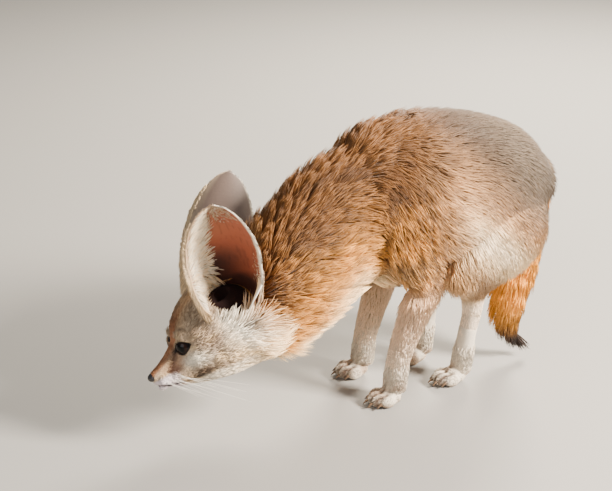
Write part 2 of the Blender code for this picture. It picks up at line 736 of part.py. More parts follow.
def make_head():
    """Head, lower jaw, nose and eyes, and the room that the head takes from its neighbours."""
    head = fused("head", make_head_shells(), HEAD_VOXEL, 2, HEAD_FACES)
    surface = surface_of(head)
    room = grown(head, "head_room", 2 * SEAM)
    thin = room.modifiers.new("thin", "DECIMATE")
    thin.ratio = ROOM_FACES / len(room.data.polygons)
    room = evaluated(room, "head_room")
    room = boolean_all(room, cheek_locks(surface, 2 * SEAM), "UNION")
    placed_on_head(room)
    head = boolean_all(head, cheek_locks(surface), "UNION")
    nose = make_nose()
    head = boolean(head, grown(nose, "nose_room", SEAM), "DIFFERENCE")
    for side, name in ((-1, "left_eye"), (1, "right_eye")):
        placed_on_head(blob(name, eye_centre(side), (EYE_RADIUS,) * 3, detail=2))
        socket = blob("socket", eye_centre(side), (EYE_RADIUS + SEAM * 1.15,) * 3, detail=2)
        head = boolean(head, socket, "DIFFERENCE")
    for spec in EARS.values():
        head = boolean(head, ear_hollow(spec), "DIFFERENCE")
    head = boolean(head, mouth_cutter(), "DIFFERENCE")
    upper, *rest = separated(head)
    jaw = min(rest, key=lambda obj: min(v.co.z for v in obj.data.vertices))
    for obj in rest:
        if obj is not jaw:
            bpy.data.objects.remove(obj)
    upper.name, jaw.name = "head", "lower_jaw"
    for obj in (upper, jaw, nose):
        placed_on_head(obj)
    return room


def separated(obj):
    """The separate closed pieces of obj as objects, largest first, with obj removed."""
    bm = cleaned(obj)
    made = []
    for group in shells_of(bm):
        verts = {vert: None for face in group for vert in face.verts}
        index = {vert: n for n, vert in enumerate(verts)}
        points = [tuple(vert.co / MM) for vert in verts]
        made.append(mesh_object("piece", points, [[index[vert] for vert in face.verts] for face in group]))
    bm.free()
    bpy.data.objects.remove(obj)
    return made


def make_paw(name, foot):
    """A paw with four toes and their claws: it stands on a small flat and rises to the wrist."""
    x, y = foot["at"]
    half, length = foot["half"], foot["length"]
    shells = [tube("stub", limb_rows(name[: -len("_paw")])[-3:], around=16, count=8)]
    shells.append(blob("sole", (x - 2, y, 5.8), (length * 0.42, half * 0.88, 7.5)))
    for forward, across, size in TOES:
        toe = (x + forward * length, y + across * half, 4.5)
        shells.append(blob("toe", toe, (7.6 * size, 3.9 * size, 5.6 * size)))
    paw = fused(name, shells, PAW_VOXEL, 2, PAW_FACES)
    for forward, across, size in TOES:
        claw = [
            (x + forward * length - 4.0, y + across * half, 4.6, 1.5, 1.5, 1.3),
            (x + forward * length - 8.0, y + across * half * 1.03, 4.0, 1.1, 1.1, 1.0),
            (x + forward * length - 10.2, y + across * half * 1.05, 2.4, 0.6, 0.6, 0.55),
        ]
        paw = boolean(paw, tube("claw", claw, around=5, count=3, cap_rings=0), "UNION")
    top = WRIST_HEIGHT - SEAM / 2
    paw = boolean(paw, box("floor_cut", (x - 60, y - 40, -30), (x + 60, y + 40, 0)), "DIFFERENCE")
    paw = boolean(paw, box("wrist_cut", (x - 60, y - 40, top), (x + 60, y + 40, 80)), "DIFFERENCE")
    return largest_piece(paw)


def limb_rows(key):
    """The stations of one leg, named left_fore, right_fore, left_hind or right_hind."""
    rows = FORELEG if key.endswith("fore") else HAUNCH
    if key.startswith("left"):
        return rows
    return mirrored(rows, FEET[key]["shift"])


def slab(name, centre, normal, low, high, wide):
    """A thin plate across the body: its normal lies in the XZ plane, and it runs from low to high."""
    normal = unit(normal)
    along = np.array([-normal[2], 0.0, normal[0]])
    if along @ (0.3, 0, 1.0) < 0:
        along = -along
    turn = np.stack([normal, np.cross(along, normal), along], axis=1)
    return box(name, (-SEAM / 2, -wide, low), (SEAM / 2, wide, high), turn, centre)


def breech_locks(surface):
    """The locks behind both thighs, which hang down and back."""
    draw = random.Random(SEED + 1)
    nearest, met = surface
    made = []
    for side in (1, -1):
        for height, places, length, width in BREECHES:
            for place in places:
                root = met((220, side * place, height + draw.uniform(-2, 2)), (-1, 0, 0))
                longer = draw.uniform(0.85, 1.15)
                lie = (0.1, side * 0.05, -1.0)
                made.append(lock(nearest, root, lie, length * longer, width, 4.0, draw.uniform(-4, 4), 0.7))
    return made


def make_body(head_room, tail_room):
    """Torso, hindquarters, neck and legs: fused into one skin, parted by thin cuts and named by place."""
    shells = [
        tube("torso", TORSO, around=40, count=30, cap_rings=5),
        tube("neck", NECK, around=36, count=22, cap_rings=4),
    ]
    for key in FEET:
        shells.append(tube(key, limb_rows(key), around=22, count=30))
    shells.append(tube("left_knee", KNEE, around=22, count=10))
    shells.append(tube("right_knee", mirrored(KNEE), around=22, count=10))
    body = fused("body", shells, BODY_VOXEL, 5, BODY_FACES)
    body = boolean_all(body, breech_locks(surface_of(body)), "UNION")
    body = boolean(body, head_room, "DIFFERENCE")
    for spec in EARS.values():
        body = boolean(body, ear_room(spec), "DIFFERENCE")
        body = boolean(body, ear_sheet("ear_wall_room", spec, 2 * SEAM + 0.4, 1.07), "DIFFERENCE")
    body = boolean(body, tail_room, "DIFFERENCE", solver="MANIFOLD")
    body = boolean(body, box("feet_cut", (-60, -80, -30), (160, 80, WRIST_HEIGHT + SEAM / 2)), "DIFFERENCE")
    body = boolean(body, slab("neck_cut", *NECK_CUT), "DIFFERENCE")
    body = boolean(body, slab("loin_cut", *LOIN_CUT), "DIFFERENCE")
    for x in (12, 90):
        for side in (-1, 1):
            low = (x - 45, min(side * 2, side * 62), LEG_TOP - SEAM / 2)
            high = (x + 45, max(side * 2, side * 62), LEG_TOP + SEAM / 2)
            body = boolean(body, box("leg_cut", low, high), "DIFFERENCE")
    for piece in separated(body):
        name = nearest_name(piece)
        if name in bpy.data.objects:
            bpy.data.objects.remove(piece)
        else:
            piece.name = name


def nearest_name(piece):
    """The name of the body part whose expected middle is nearest to a piece's middle."""
    points = np.array([v.co for v in piece.data.vertices]) / MM
    middle = (points.min(axis=0) + points.max(axis=0)) / 2
    return min(BODY_PARTS, key=lambda name: np.linalg.norm(middle - np.array(BODY_PARTS[name])))


def tail_place(along, angle, share):
    """A point of the tail: how far along it, the angle round it and the share of the way to its outline."""
    rows = smooth_rows(TAIL, 61)
    centres = rows[:, :3]
    tangents, across, upward = frames(centres)
    steps = np.linspace(0.0, 1.0, len(rows))
    length = np.linalg.norm(np.diff(centres, axis=0), axis=1).sum()

    def at(table):
        return np.array([np.interp(along, steps, column) for column in np.atleast_2d(table.T)])

    up, down, side = (np.interp(along, steps, rows[:, c]) for c in (3, 4, 5))
    past = max(0.0, along - 1.0) * length
    radial = np.array([side * math.cos(angle), (up if math.sin(angle) >= 0 else down) * math.sin(angle)])
    radial *= share * (1.0 - min(1.0, past / 12.0) * 0.7)
    return at(centres) + at(tangents) * past + at(across) * radial[0] + at(upward) * radial[1]


def brush_lock(start, angle, length, spread, turn):
    """A lock of the brush, wrapped round the tail: its root is in the core and its tip at the outline."""
    rings = []
    for t, taper in zip(LOCK_STEPS, LOCK_TAPER):
        along = start + length * t
        share = float(np.interp(t, [0, 0.34, 0.7, 1.0], [0.36, 0.72, 0.90, 0.92]))
        half = spread * taper
        middle = angle + turn * t * t
        rings.append([
            tail_place(along, middle + half, share),
            tail_place(along, middle, share + 0.075 * taper),
            tail_place(along, middle - half, share),
            tail_place(along, middle, share - 0.075 * taper),
        ])
    root = np.mean(rings[0], axis=0)
    return lock_solid("lock", rings, root, tail_place(start + length, angle + turn, 0.93))


def brush_locks():
    """All the locks of the tail's brush, in rows that stand in each other's gaps."""
    draw = random.Random(SEED + 2)
    made = []
    for n, start in enumerate(BRUSH_ROWS):
        for m in range(BRUSH_AROUND):
            angle = 2 * math.pi * (m + 0.5 * (n % 2) + draw.uniform(-0.12, 0.12)) / BRUSH_AROUND
            length = BRUSH_LENGTH * draw.uniform(0.88, 1.12)
            spread = BRUSH_WIDTH * math.pi / BRUSH_AROUND * draw.uniform(0.9, 1.1)
            turn = draw.uniform(-0.2, 0.2)
            made.append(brush_lock(start + draw.uniform(-0.02, 0.02), angle, length, spread, turn))
    return made


def brush_core():
    """The core of the brush, which fills at most half of the way out to the tips."""
    rows = smooth_rows(TAIL, 14)
    shares = np.interp(np.linspace(0, 1, len(rows)), *np.array(BRUSH_CORE).T)
    rows[:, 3:] *= shares[:, None]
    return tube("tail", rows, around=12, count=12)


def make_tail():
    """The tail: a core with the locks of the brush."""
    largest_piece(boolean_all(brush_core(), brush_locks(), "UNION"))


def painted(obj, colour, rough):
    """Give an object its own material."""
    material = bpy.data.materials.new(obj.name)
    material.use_nodes = True
    shader = material.node_tree.nodes["Principled BSDF"]
    shader.inputs["Base Color"].default_value = (*colour, 1.0)
    shader.inputs["Roughness"].default_value = rough
    shader.inputs["Metallic"].default_value = 0.0
    obj.data.materials.clear()
    obj.data.materials.append(material)


def settled(objects):
    """Move the whole model so that its box is centred over the origin and stands on the floor."""
    points = np.vstack([[v.co for v in obj.data.vertices] for obj in objects])
    low, high = points.min(axis=0), points.max(axis=0)
    shift = Vector((-(low[0] + high[0]) / 2, -(low[1] + high[1]) / 2, -low[2]))
    for obj in objects:
        obj.data.transform(Matrix.Translation(shift))
    print("moved by", [round(c / MM, 3) for c in shift], "mm")


def main():
    """Build the fox node by node."""
    clear_scene()
    head_room = make_head()
    for name, spec in EARS.items():
        make_ear(name, spec, head_room)
    make_body(head_room, tube("tail_room", TAIL, around=16, count=12, grow=SEAM))
    make_tail()
    for key, foot in FEET.items():
        make_paw(key + "_paw", foot)
    objects = sorted(bpy.context.scene.objects, key=lambda obj: obj.name)
    for obj in objects:
        painted(obj, *COLOURS.get(obj.name, COAT))
    settled(objects)


main()
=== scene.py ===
"""Looks of a life-size fennec fox: skin, coat in tufts, eyes, nose, claws, whiskers, floor, light and camera.

Shapes are worked out in millimetres in the fox's own frame, as in the part's source: it faces -X, its left
side looks towards -Y, X is zero over the fore feet and Z is zero on the floor. They are moved to the place of
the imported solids, and turned to metres, when a mesh is made.
"""

import logging
import math
from collections.abc import Callable
from dataclasses import dataclass, field
from enum import Enum

import bmesh
import bpy
import numpy as np
from mathutils import Matrix, Vector


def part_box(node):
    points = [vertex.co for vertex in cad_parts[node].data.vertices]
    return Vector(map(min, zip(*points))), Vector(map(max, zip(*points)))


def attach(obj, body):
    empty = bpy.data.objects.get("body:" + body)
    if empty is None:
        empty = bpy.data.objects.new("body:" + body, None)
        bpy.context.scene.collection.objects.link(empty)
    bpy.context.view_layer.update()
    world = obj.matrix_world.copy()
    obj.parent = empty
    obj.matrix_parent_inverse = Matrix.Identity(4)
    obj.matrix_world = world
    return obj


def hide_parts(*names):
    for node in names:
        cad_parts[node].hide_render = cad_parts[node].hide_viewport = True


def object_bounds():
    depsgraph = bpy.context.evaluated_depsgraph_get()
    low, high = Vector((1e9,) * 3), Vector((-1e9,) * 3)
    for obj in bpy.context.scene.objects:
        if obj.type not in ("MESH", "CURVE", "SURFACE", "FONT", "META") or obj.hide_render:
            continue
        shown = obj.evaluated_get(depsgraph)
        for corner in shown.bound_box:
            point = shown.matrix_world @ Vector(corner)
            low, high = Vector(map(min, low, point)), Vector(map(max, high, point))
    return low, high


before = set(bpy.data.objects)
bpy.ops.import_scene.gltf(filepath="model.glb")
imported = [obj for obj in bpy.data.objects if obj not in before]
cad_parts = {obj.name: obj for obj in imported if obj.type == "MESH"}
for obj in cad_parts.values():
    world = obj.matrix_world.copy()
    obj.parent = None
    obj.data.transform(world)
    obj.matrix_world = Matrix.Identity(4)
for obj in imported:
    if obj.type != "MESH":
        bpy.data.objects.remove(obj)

logging.basicConfig(level=logging.INFO, format="%(message)s")
LOG = logging.getLogger("fennec")

CAD_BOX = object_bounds()
MM = 0.001
LATERAL = np.array([0.0, 1.0, 0.0])
SEED = 20251
VIVID = 1.14                # how much more vivid a tone is than its values on a screen
ROOT_HEIGHT = 120.0         # above it a right limb mirrors the left one exactly
LEAST_REACH = 2.2           # of the skin from the middle of its path
BLOCK = 20000               # places measured against a path at a time
RULE = 5.0                  # how sharply the coat changes from one path to the next
MARGIN = 0.3                # that each tuft keeps inside the box of the solids
SOLE = 0.25                 # height of the skin under the paws
PATCH = 0.003               # width of a tuft's patch on the OFBake map
GRID = 4                    # cells along each side of that map

Array = np.ndarray
Draws = np.random.Generator
Object = bpy.types.Object
Shell = tuple[Array, Array]     # points and triangles of a closed mesh

# Stations of a loft: centre x, y, z, reach up, down and sideways, then the depth of the coat over the skin
TORSO = [
    (-34, 0, 138, 44, 44, 34, 9),
    (-12, 0, 140, 55, 58, 43, 8.5),
    (24, 0, 144, 61, 63, 47, 7),
    (58, 0, 148, 64, 57, 49, 5.2),
    (88, 0, 147, 58, 51, 49, 4.6),
    (115, 0, 144, 46, 42, 45, 6.2),
    (132, 0, 141, 33, 32, 37, 10),
]
NECK = [
    (-92, 0, 84, 41, 33, 36, 8),
    (-72, 0, 101, 48, 44, 42, 9),
    (-46, 0, 122, 50, 50, 43, 9.5),
    (-20, 0, 138, 50, 52, 42, 9),
    (10, 0, 146, 50, 50, 40, 8),
]
FORELEG = [
    (4, -24, 168, 24, 26, 22, 13),
    (2, -29, 138, 28, 28, 24, 12),
    (16, -30, 112, 25, 24, 20, 11),
    (29, -27, 90, 19, 18, 14.5, 7.5),
    (23, -25, 70, 15.0, 14.0, 12.5, 4),
    (15, -23.5, 50, 11.5, 11.5, 11.0, 2.6),
    (9, -23, 32, 9.5, 10.0, 10.5, 2.0),
    (6, -23, 12, 9.0, 10.0, 11.0, 1.6),
]
HAUNCH = [
    (112, -18, 148, 32, 30, 26, 9),
    (98, -24, 130, 43, 43, 27, 6),
    (84, -28, 108, 38, 40, 25, 6),
    (73, -28, 88, 26, 24, 20, 5.5),
    (72, -25, 70, 14.5, 13, 13, 4),
    (72, -23, 56, 9.5, 10.5, 9.5, 2.4),
    (70, -21, 38, 8.0, 8.5, 9.0, 1.8),
    (68.5, -20, 22, 8.5, 8.5, 9.5, 1.6),
    (67, -19, 10, 8.5, 9, 10.0, 1.6),
]
KNEE = [
    (94, -26, 122, 26, 26, 24, 6),
    (70, -30, 103, 27, 26, 23, 6),
    (52, -31, 91, 20, 20, 19, 6),
]
TAIL = [
    (133, 0, 148, 14, 15, 14, 8),
    (143, 0, 130, 16, 17, 16, 10),
    (141, -1, 108, 19, 20, 18, 13),
    (132, -3, 84, 21, 22, 21, 15.5),
    (123, -5, 62, 22, 22, 22, 17),
    (118, -7, 42, 20, 20, 20, 16),
    (120, -9, 26, 14, 14, 14, 11.5),
    (128, -11, 14, 6, 6, 7, 4.6),
]
TOES = [(-0.40, -0.70, 0.90), (-0.62, -0.26, 1.0), (-0.62, 0.26, 1.0), (-0.40, 0.70, 0.90)]

# Head, in its own frame: x runs back from the nose tip, y to the fox's right, z up
HEAD_NOSE = np.array([-174.0, 0.0, 52.5])
HEAD_PITCH, HEAD_ROLL, HEAD_YAW = 24.0, 19.0, -2.0
# Sections across the head: x, then y and z of seven points down one side, from the crown to the throat
SKULL = [
    (4, [(0, 4.2), (3.2, 3.6), (4.9, 1.5), (5.7, -2), (5.3, -5.4), (3.2, -7.6), (0, -8.4)]),
    (9, [(0, 5.6), (3.8, 5.0), (6.3, 2.2), (7.9, -3), (7.7, -8.2), (4.6, -11.4), (0, -12.2)]),
    (15, [(0, 7.8), (4.4, 7.2), (7.6, 3.6), (9.8, -3.5), (9.8, -10.2), (6.0, -14.4), (0, -15.4)]),
    (21, [(0, 11.0), (5.0, 10.4), (9.6, 6.4), (12.2, -2), (12.4, -11.4), (8.0, -16.8), (0, -17.6)]),
    (26, [(0, 14.4), (5.8, 14.0), (13.2, 9.6), (15.6, 0), (15.2, -12), (10.0, -19.0), (0, -19.6)]),
    (31, [(0, 22.8), (8.0, 22.2), (17.0, 15.0), (20.6, 1), (19.0, -13), (12.5, -21.2), (0, -21.8)]),
    (37, [(0, 28.6), (12.0, 27.4), (21.5, 17.6), (25.5, 3), (23.5, -14), (15.5, -23.4), (0, -24.0)]),
    (45, [(0, 33.4), (16.0, 31.6), (26.5, 19.0), (31.0, 3), (29.5, -14.5), (19.0, -25.6), (0, -26.6)]),
    (55, [(0, 36.0), (18.0, 34.5), (29.5, 22.0), (35.5, 3), (35.0, -14.5), (22.5, -26.8), (0, -28.6)]),
    (66, [(0, 36.5), (19.0, 34.5), (31.0, 22.0), (38.0, 3), (38.0, -14), (24.5, -27.0), (0, -29.0)]),
    (78, [(0, 33.5), (18.0, 31.5), (29.5, 19.0), (36.5, 2), (36.0, -13), (24.0, -25.5), (0, -27.5)]),
    (89, [(0, 27.0), (14.5, 25.5), (24.0, 15.0), (30.0, 0), (29.0, -12), (20.0, -21.5), (0, -23.5)]),
]
EYE_CENTRE = np.array([30.6, 11.3, 8.8])
EYE_OUT = np.array([-0.70, 0.70, 0.12])
EYE_RADIUS = 6.4
EYE_HALF = (6.0, 4.0)       # half length and half height of the opening between the lids
EYE_ALMOND = 0.42           # how much that opening narrows towards its corners
MOUTH = np.array([(-8, -4.0), (1.3, -5.8), (6, -8.4), (12, -10.8), (20, -12.6), (28, -13.2), (33, -13.6)])
EAR_ROOT = np.array([72.0, 23.0, 22.0])
EAR_LENGTH = 94.0
EAR_HALF_WIDTH = 24.0
# Half width of an ear as a share of its widest, and how far its section opens, at heights from root to tip
EAR_HEIGHTS = [0, 0.12, 0.3, 0.5, 0.65, 0.8, 0.9, 0.96, 1.0]
EAR_WIDTHS = [0.60, 0.80, 0.96, 1.0, 0.93, 0.74, 0.53, 0.34, 0.06]
EAR_OPENINGS = [2.45, 2.0, 1.45, 1.12, 0.85, 0.5]
# Ellipsoid that hollows the bottom of an ear cup: how far its centre stands along the ear's axis and towards
# the opening, and its half lengths along the axis, towards the opening and across
HOLLOW_AT = (13.0, 1.5)
HOLLOW_HALF = (20.0, 13.5, 14.0)
# Rings of a tuft, as shares of its length, for long and for short hairs, and its width at such shares
LONG_RINGS = (0.0, 0.35, 0.7)
SHORT_RINGS = (0.0, 0.5)
TAPER_AT, TAPER = [0, 0.35, 0.7, 1.0], [0.85, 1.0, 0.62, 0.0]


def tone(red: int, green: int, blue: int) -> Array:
    """A colour given as on a screen, from 0 to 255, made linear and somewhat more vivid.

    Args:
        red: 0 to 255
        green: 0 to 255
        blue: 0 to 255

    Returns:
        the linear colour
    """
    c = np.array([red, green, blue]) / 255.0
    c = np.where(c <= 0.04045, c / 12.92, ((c + 0.055) / 1.055) ** 2.4)
    return np.clip(c.mean() + (c - c.mean()) * VIVID, 0.002, 0.95)


GOLD = tone(182, 128, 68)
GOLD_DEEP = tone(88, 57, 34)
BACK_TAN = tone(70, 56, 43)
RUMP_GREY = tone(110, 97, 82)
FLANK_TAN = tone(196, 152, 112)
CREAM = tone(242, 214, 172)
LEG_CREAM = tone(236, 208, 180)
WHITE = tone(255, 240, 222)
BREECH_BROWN = tone(136, 98, 66)
DARK_BROWN = tone(74, 50, 36)
TAIL_ORANGE = tone(240, 168, 82)
TAIL_DARK = tone(40, 26, 18)
FACE_GREY = tone(168, 149, 127)
FOREHEAD = tone(182, 162, 138)
BRIDGE = tone(146, 100, 72)
STREAK = tone(68, 43, 31)
LIP_DARK = tone(22, 17, 16)
EAR_PINK = tone(150, 82, 62)
# Nearly black: painted shade over the dark red skin at the bottoms of the ear cups, and the colour of the
# lining's veins
EAR_SHADE_AND_VEIN = tone(28, 11, 8)
EAR_BACK = tone(94, 81, 74)
POUCH_RED = tone(176, 58, 42)
PAD_LILAC = tone(226, 214, 216)
LINING_WARM = tone(150, 92, 68)
IRIS, PUPIL, EYE_RIM = tone(20, 11, 8), tone(3, 3, 3), tone(10, 6, 5)


# Plain mathematics


def unit(rows: Array) -> Array:
    """Each row at length one."""
    rows = np.asarray(rows, float)
    return rows / np.maximum(np.linalg.norm(rows, axis=-1), 1e-9)[..., None]


def mix(a: Array, b: Array, share: Array) -> Array:
    """a + (b - a) * share, with one share for each row."""
    share = np.clip(np.asarray(share), 0.0, 1.0)[..., None]
    return a + (b - a) * share


def ramp(x: Array, low: float, high: float) -> Array:
    """A smooth step: 0 below low, 1 above high, and t * t * (3 - 2 t) between."""
    t = np.clip((np.asarray(x) - low) / (high - low), 0.0, 1.0)
    return t * t * (3 - 2 * t)


def bump(x: Array, middle: float, width: float) -> Array:
    """A bell curve exp(-((x - middle) / width) squared)."""
    return np.exp(-(((np.asarray(x) - middle) / width) ** 2))


def smooth_rows(rows: Array, count: int) -> Array:
    """Rows of numbers read at count even steps of a cubic curve through them, spaced by their centres.

    Args:
        rows: a row for each station
        count: how many to read

    Returns:
        the rows read
    """
    rows = np.asarray(rows, float)
    knots = np.concatenate([[0.0], np.cumsum(np.linalg.norm(np.diff(rows[:, :3], axis=0), axis=1))])
    slopes = np.gradient(rows, knots, axis=0)
    along = np.linspace(0.0, knots[-1], count)
    i = np.clip(np.searchsorted(knots, along, side="right") - 1, 0, len(knots) - 2)
    span = (knots[i + 1] - knots[i])[:, None]
    t = (along - knots[i])[:, None] / span
    return (
        rows[i] * (2 * t**3 - 3 * t**2 + 1)
        + slopes[i] * span * (t**3 - 2 * t**2 + t)
        + rows[i + 1] * (3 * t**2 - 2 * t**3)
        + slopes[i + 1] * span * (t**3 - t**2)
    )


def frames(centres: Array) -> tuple[Array, Array, Array]:
    """Unit tangents of a path, and its sideways and upward directions.

    Args:
        centres: points of the middle line

    Returns:
        three arrays of unit vectors
    """
    tangents = unit(np.gradient(centres, axis=0))
    across = unit(LATERAL - tangents * (tangents @ LATERAL)[:, None])
    return tangents, across, np.cross(across, tangents)


def lattice(points: Array, seed: int) -> Array:
    """A repeatable draw between 0 and 1 for each whole-number point, by mixing its three numbers.

    Args:
        points: whole numbers in threes
        seed: a number that picks the pattern

    Returns:
        the draws
    """
    p = points.astype(np.int64)
    h = (p[..., 0] * 73856093) ^ (p[..., 1] * 19349663) ^ (p[..., 2] * 83492791) ^ (seed * 2654435761)
    h = (h ^ (h >> 13)) * 1274126177
    h = (h ^ (h >> 16)) & 0xFFFFFF
    return h / float(0xFFFFFF)


def cloud(points: Array, size: float, seed: int) -> Array:
    """Smooth noise between 0 and 1: the draws at a lattice of that size, blended between its points.

    Args:
        points: places
        size: the size of the pattern in mm
        seed: a number that picks the pattern

    Returns:
        the noise there
    """
    q = np.asarray(points) / size
    base = np.floor(q)
    f = q - base
    f = f * f * (3 - 2 * f)
    total = np.zeros(len(q))
    for n in range(8):
        corner = np.array([n & 1, (n >> 1) & 1, (n >> 2) & 1])
        weight = np.prod(np.where(corner, f, 1 - f), axis=1)
        total += weight * lattice(base + corner, seed)
    return total


def clumps(points: Array, size: float, seed: int) -> tuple[Array, Array]:
    """For each point the nearest of a scatter of clump centres, one to a cell of that size.

    Args:
        points: places
        size: the size of the pattern in mm
        seed: a number that picks the pattern

    Returns:
        the centre nearest to each, and that centre's own draw
    """
    base = np.floor(points / size)
    best = np.full(len(points), 1e9)
    centre = np.zeros_like(points)
    draw = np.zeros(len(points))
    for n in range(27):
        cell = base + np.array([n % 3 - 1, n // 3 % 3 - 1, n // 9 - 1])
        jitter = np.stack([lattice(cell, seed + k) for k in range(3)], axis=1)
        place = (cell + jitter) * size
        away = np.linalg.norm(place - points, axis=1)
        near = away < best
        best = np.where(near, away, best)
        centre = np.where(near[:, None], place, centre)
        draw = np.where(near, lattice(cell, seed + 3), draw)
    return centre, draw


# Meshes


def head_turn() -> Array:
    """The head's rotation: rolled, then pitched nose down, then turned.

    Returns:
        its matrix
    """
    roll = Matrix.Rotation(math.radians(-HEAD_ROLL), 3, "X")
    pitch = Matrix.Rotation(math.radians(-HEAD_PITCH), 3, "Y")
    yaw = Matrix.Rotation(math.radians(HEAD_YAW), 3, "Z")
    return np.array(yaw @ pitch @ roll)


HEAD_TURN = head_turn()


def from_head(points: Array) -> Array:
    """Points of the head's own frame, in the fox's frame."""
    return np.asarray(points, float) @ HEAD_TURN.T + HEAD_NOSE


def to_head(points: Array) -> Array:
    """Points of the fox's frame, in the head's own."""
    return (np.asarray(points, float) - HEAD_NOSE) @ HEAD_TURN


def packed_shift() -> Array:
    """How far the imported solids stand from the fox's own frame, found from the left eye, in millimetres.

    Returns:
        the way from the one to the other, level with the floor
    """
    low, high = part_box("left_eye")
    middle = (np.array(low) + np.array(high)) / 2 / MM
    shift = middle - from_head(EYE_CENTRE * (1, -1, 1))
    shift[2] = 0.0
    return shift


SHIFT = packed_shift()


def make_object(name: str, points: Array, faces: Array, smooth: bool = True) -> Object:
    """An object at the origin with a mesh of faces that all have the same number of corners.

    Args:
        name: the object's name
        points: its points in mm, in the fox's frame
        faces: rows of point numbers
        smooth: whether its faces are shaded smooth

    Returns:
        the object, linked to the scene
    """
    mesh = bpy.data.meshes.new(name)
    points = (np.asarray(points, float) + SHIFT) * MM
    faces = np.asarray(faces, np.int32)
    mesh.vertices.add(len(points))
    mesh.vertices.foreach_set("co", points.astype(np.float32).ravel())
    mesh.loops.add(faces.size)
    mesh.loops.foreach_set("vertex_index", faces.ravel())
    mesh.polygons.add(len(faces))
    mesh.polygons.foreach_set("loop_start", np.arange(0, faces.size, faces.shape[1], dtype=np.int32))
    mesh.update(calc_edges=True)
    mesh.polygons.foreach_set("use_smooth", np.full(len(faces), smooth))
    obj = bpy.data.objects.new(name, mesh)
    bpy.context.scene.collection.objects.link(obj)
    return obj


def points_of(obj: Object) -> Array:
    """An object's points in millimetres, in the fox's frame.

    Args:
        obj: the object

    Returns:
        a row for each point
    """
    flat = np.empty(len(obj.data.vertices) * 3, np.float32)
    obj.data.vertices.foreach_get("co", flat)
    return flat.reshape(-1, 3).astype(float) / MM - SHIFT


def put_points(obj: Object, points: Array) -> None:
    """Set an object's points, given in millimetres in the fox's frame."""
    obj.data.vertices.foreach_set("co", ((points + SHIFT) * MM).astype(np.float32).ravel())
    obj.data.update()


def normals_of(obj: Object) -> Array:
    """The normal at each of an object's points.

    Args:
        obj: the object

    Returns:
        a row for each point
    """
    flat = np.empty(len(obj.data.vertices) * 3, np.float32)
    obj.data.vertices.foreach_get("normal", flat)
    return flat.reshape(-1, 3).astype(float)


def tube_mesh(
    centres: Array, tangents: Array, across: Array, upward: Array,
    up: Array, down: Array, side: Array, around: int = 24, cap: int = 3,
) -> Shell:
    """A closed tube with rounded ends, as triangles.

    Each ring is centre + across * side * cos(a) + upward * reach * sin(a), with its own reach above and
    below. At the ends the rings shrink as on an ellipsoid, to a pole.

    Args:
        centres: the middle of each ring
        tangents: the way along the tube
        across: the way to its side
        upward: the way to its top
        up: its reach upwards
        down: its reach downwards
        side: its reach sideways
        around: how many points in a ring
        cap: the rings in each rounded end

    Returns:
        its points and triangles
    """
    angle = 2 * np.pi * np.arange(around) / around
    rise = np.sin(angle)

    def ring(n: int, shrink: float, push: float) -> Array:
        """One ring of the tube.

        Args:
            n: the ring
            shrink: the share of its size
            push: how far it moves along the tube

        Returns:
            its points
        """
        height = np.where(rise >= 0, up[n], down[n]) * rise
        flat = np.cos(angle)[:, None] * side[n] * across[n] + height[:, None] * upward[n]
        return centres[n] + tangents[n] * push + flat * shrink

    turns = np.radians(np.linspace(90, 0, cap + 2)[1:-1])
    reach = [0.6 * min(up[n], down[n], side[n]) for n in (0, -1)]
    rings = [ring(0, math.cos(a), -math.sin(a) * reach[0]) for a in turns]
    rings += [ring(n, 1.0, 0.0) for n in range(len(centres))]
    rings += [ring(-1, math.cos(a), math.sin(a) * reach[1]) for a in turns[::-1]]
    poles = [centres[0] - tangents[0] * reach[0], centres[-1] + tangents[-1] * reach[1]]
    return np.vstack([*rings, *poles]), ring_faces(len(rings), around)


def halved(a: Array, b: Array, c: Array, d: Array) -> Array:
    """Quads with the corners a, b, c and d, each cut into two triangles."""
    return np.vstack([np.stack(corners, axis=-1).reshape(-1, 3) for corners in ((a, b, c), (a, c, d))])


def ring_faces(rings: int, around: int) -> Array:
    """Triangles of a closed tube of rings whose two poles are the last two points.

    Args:
        rings: how many rings
        around: how many points in a ring

    Returns:
        the triangles
    """
    i = np.arange(rings - 1)[:, None] * around
    j = np.arange(around)[None, :]
    k = (j + 1) % around
    sides = halved(i + j, i + k, i + around + k, i + around + j)
    n = np.arange(around)
    first, last, end = rings * around, rings * around + 1, (rings - 1) * around
    start = np.stack([np.full(around, first), (n + 1) % around, n], axis=1)
    stop = np.stack([np.full(around, last), end + n, end + (n + 1) % around], axis=1)
    return np.vstack([sides, start, stop])


def ball_mesh(centre: tuple, radii: tuple, rings: int = 14, around: int = 20) -> Shell:
    """An ellipsoid: centre + (rx cos a, ry sin a cos b, rz sin a sin b), with a pole at each end.

    Args:
        centre: its centre
        radii: its three half lengths
        rings: how many rings
        around: how many points in a ring

    Returns:
        its points and triangles
    """
    a = np.pi * (np.arange(rings) + 1) / (rings + 1)
    b = 2 * np.pi * np.arange(around) / around
    grid = np.stack([
        np.cos(a)[:, None] * np.ones(around),
        np.sin(a)[:, None] * np.cos(b),
        np.sin(a)[:, None] * np.sin(b),
    ], axis=-1).reshape(-1, 3)
    points = np.vstack([grid, [[1, 0, 0], [-1, 0, 0]]]) * np.asarray(radii, float)
    return points + np.asarray(centre, float), ring_faces(rings, around)


def merged(parts: list[Shell]) -> Shell:
    """Several meshes' points and triangles as one.

    Args:
        parts: the meshes

    Returns:
        points and triangles of the whole
    """
    points, faces, count = [], [], 0
    for p, f in parts:
        points.append(p)
        faces.append(f + count)
        count += len(p)
    return np.vstack(points), np.vstack(faces)


def outward(obj: Object) -> Object:
    """Turn an object's faces outwards.

    Args:
        obj: the object

    Returns:
        the same object
    """
    bm = bmesh.new()
    bm.from_mesh(obj.data)
    bmesh.ops.recalc_face_normals(bm, faces=bm.faces)
    bm.to_mesh(obj.data)
    bm.free()
    return obj


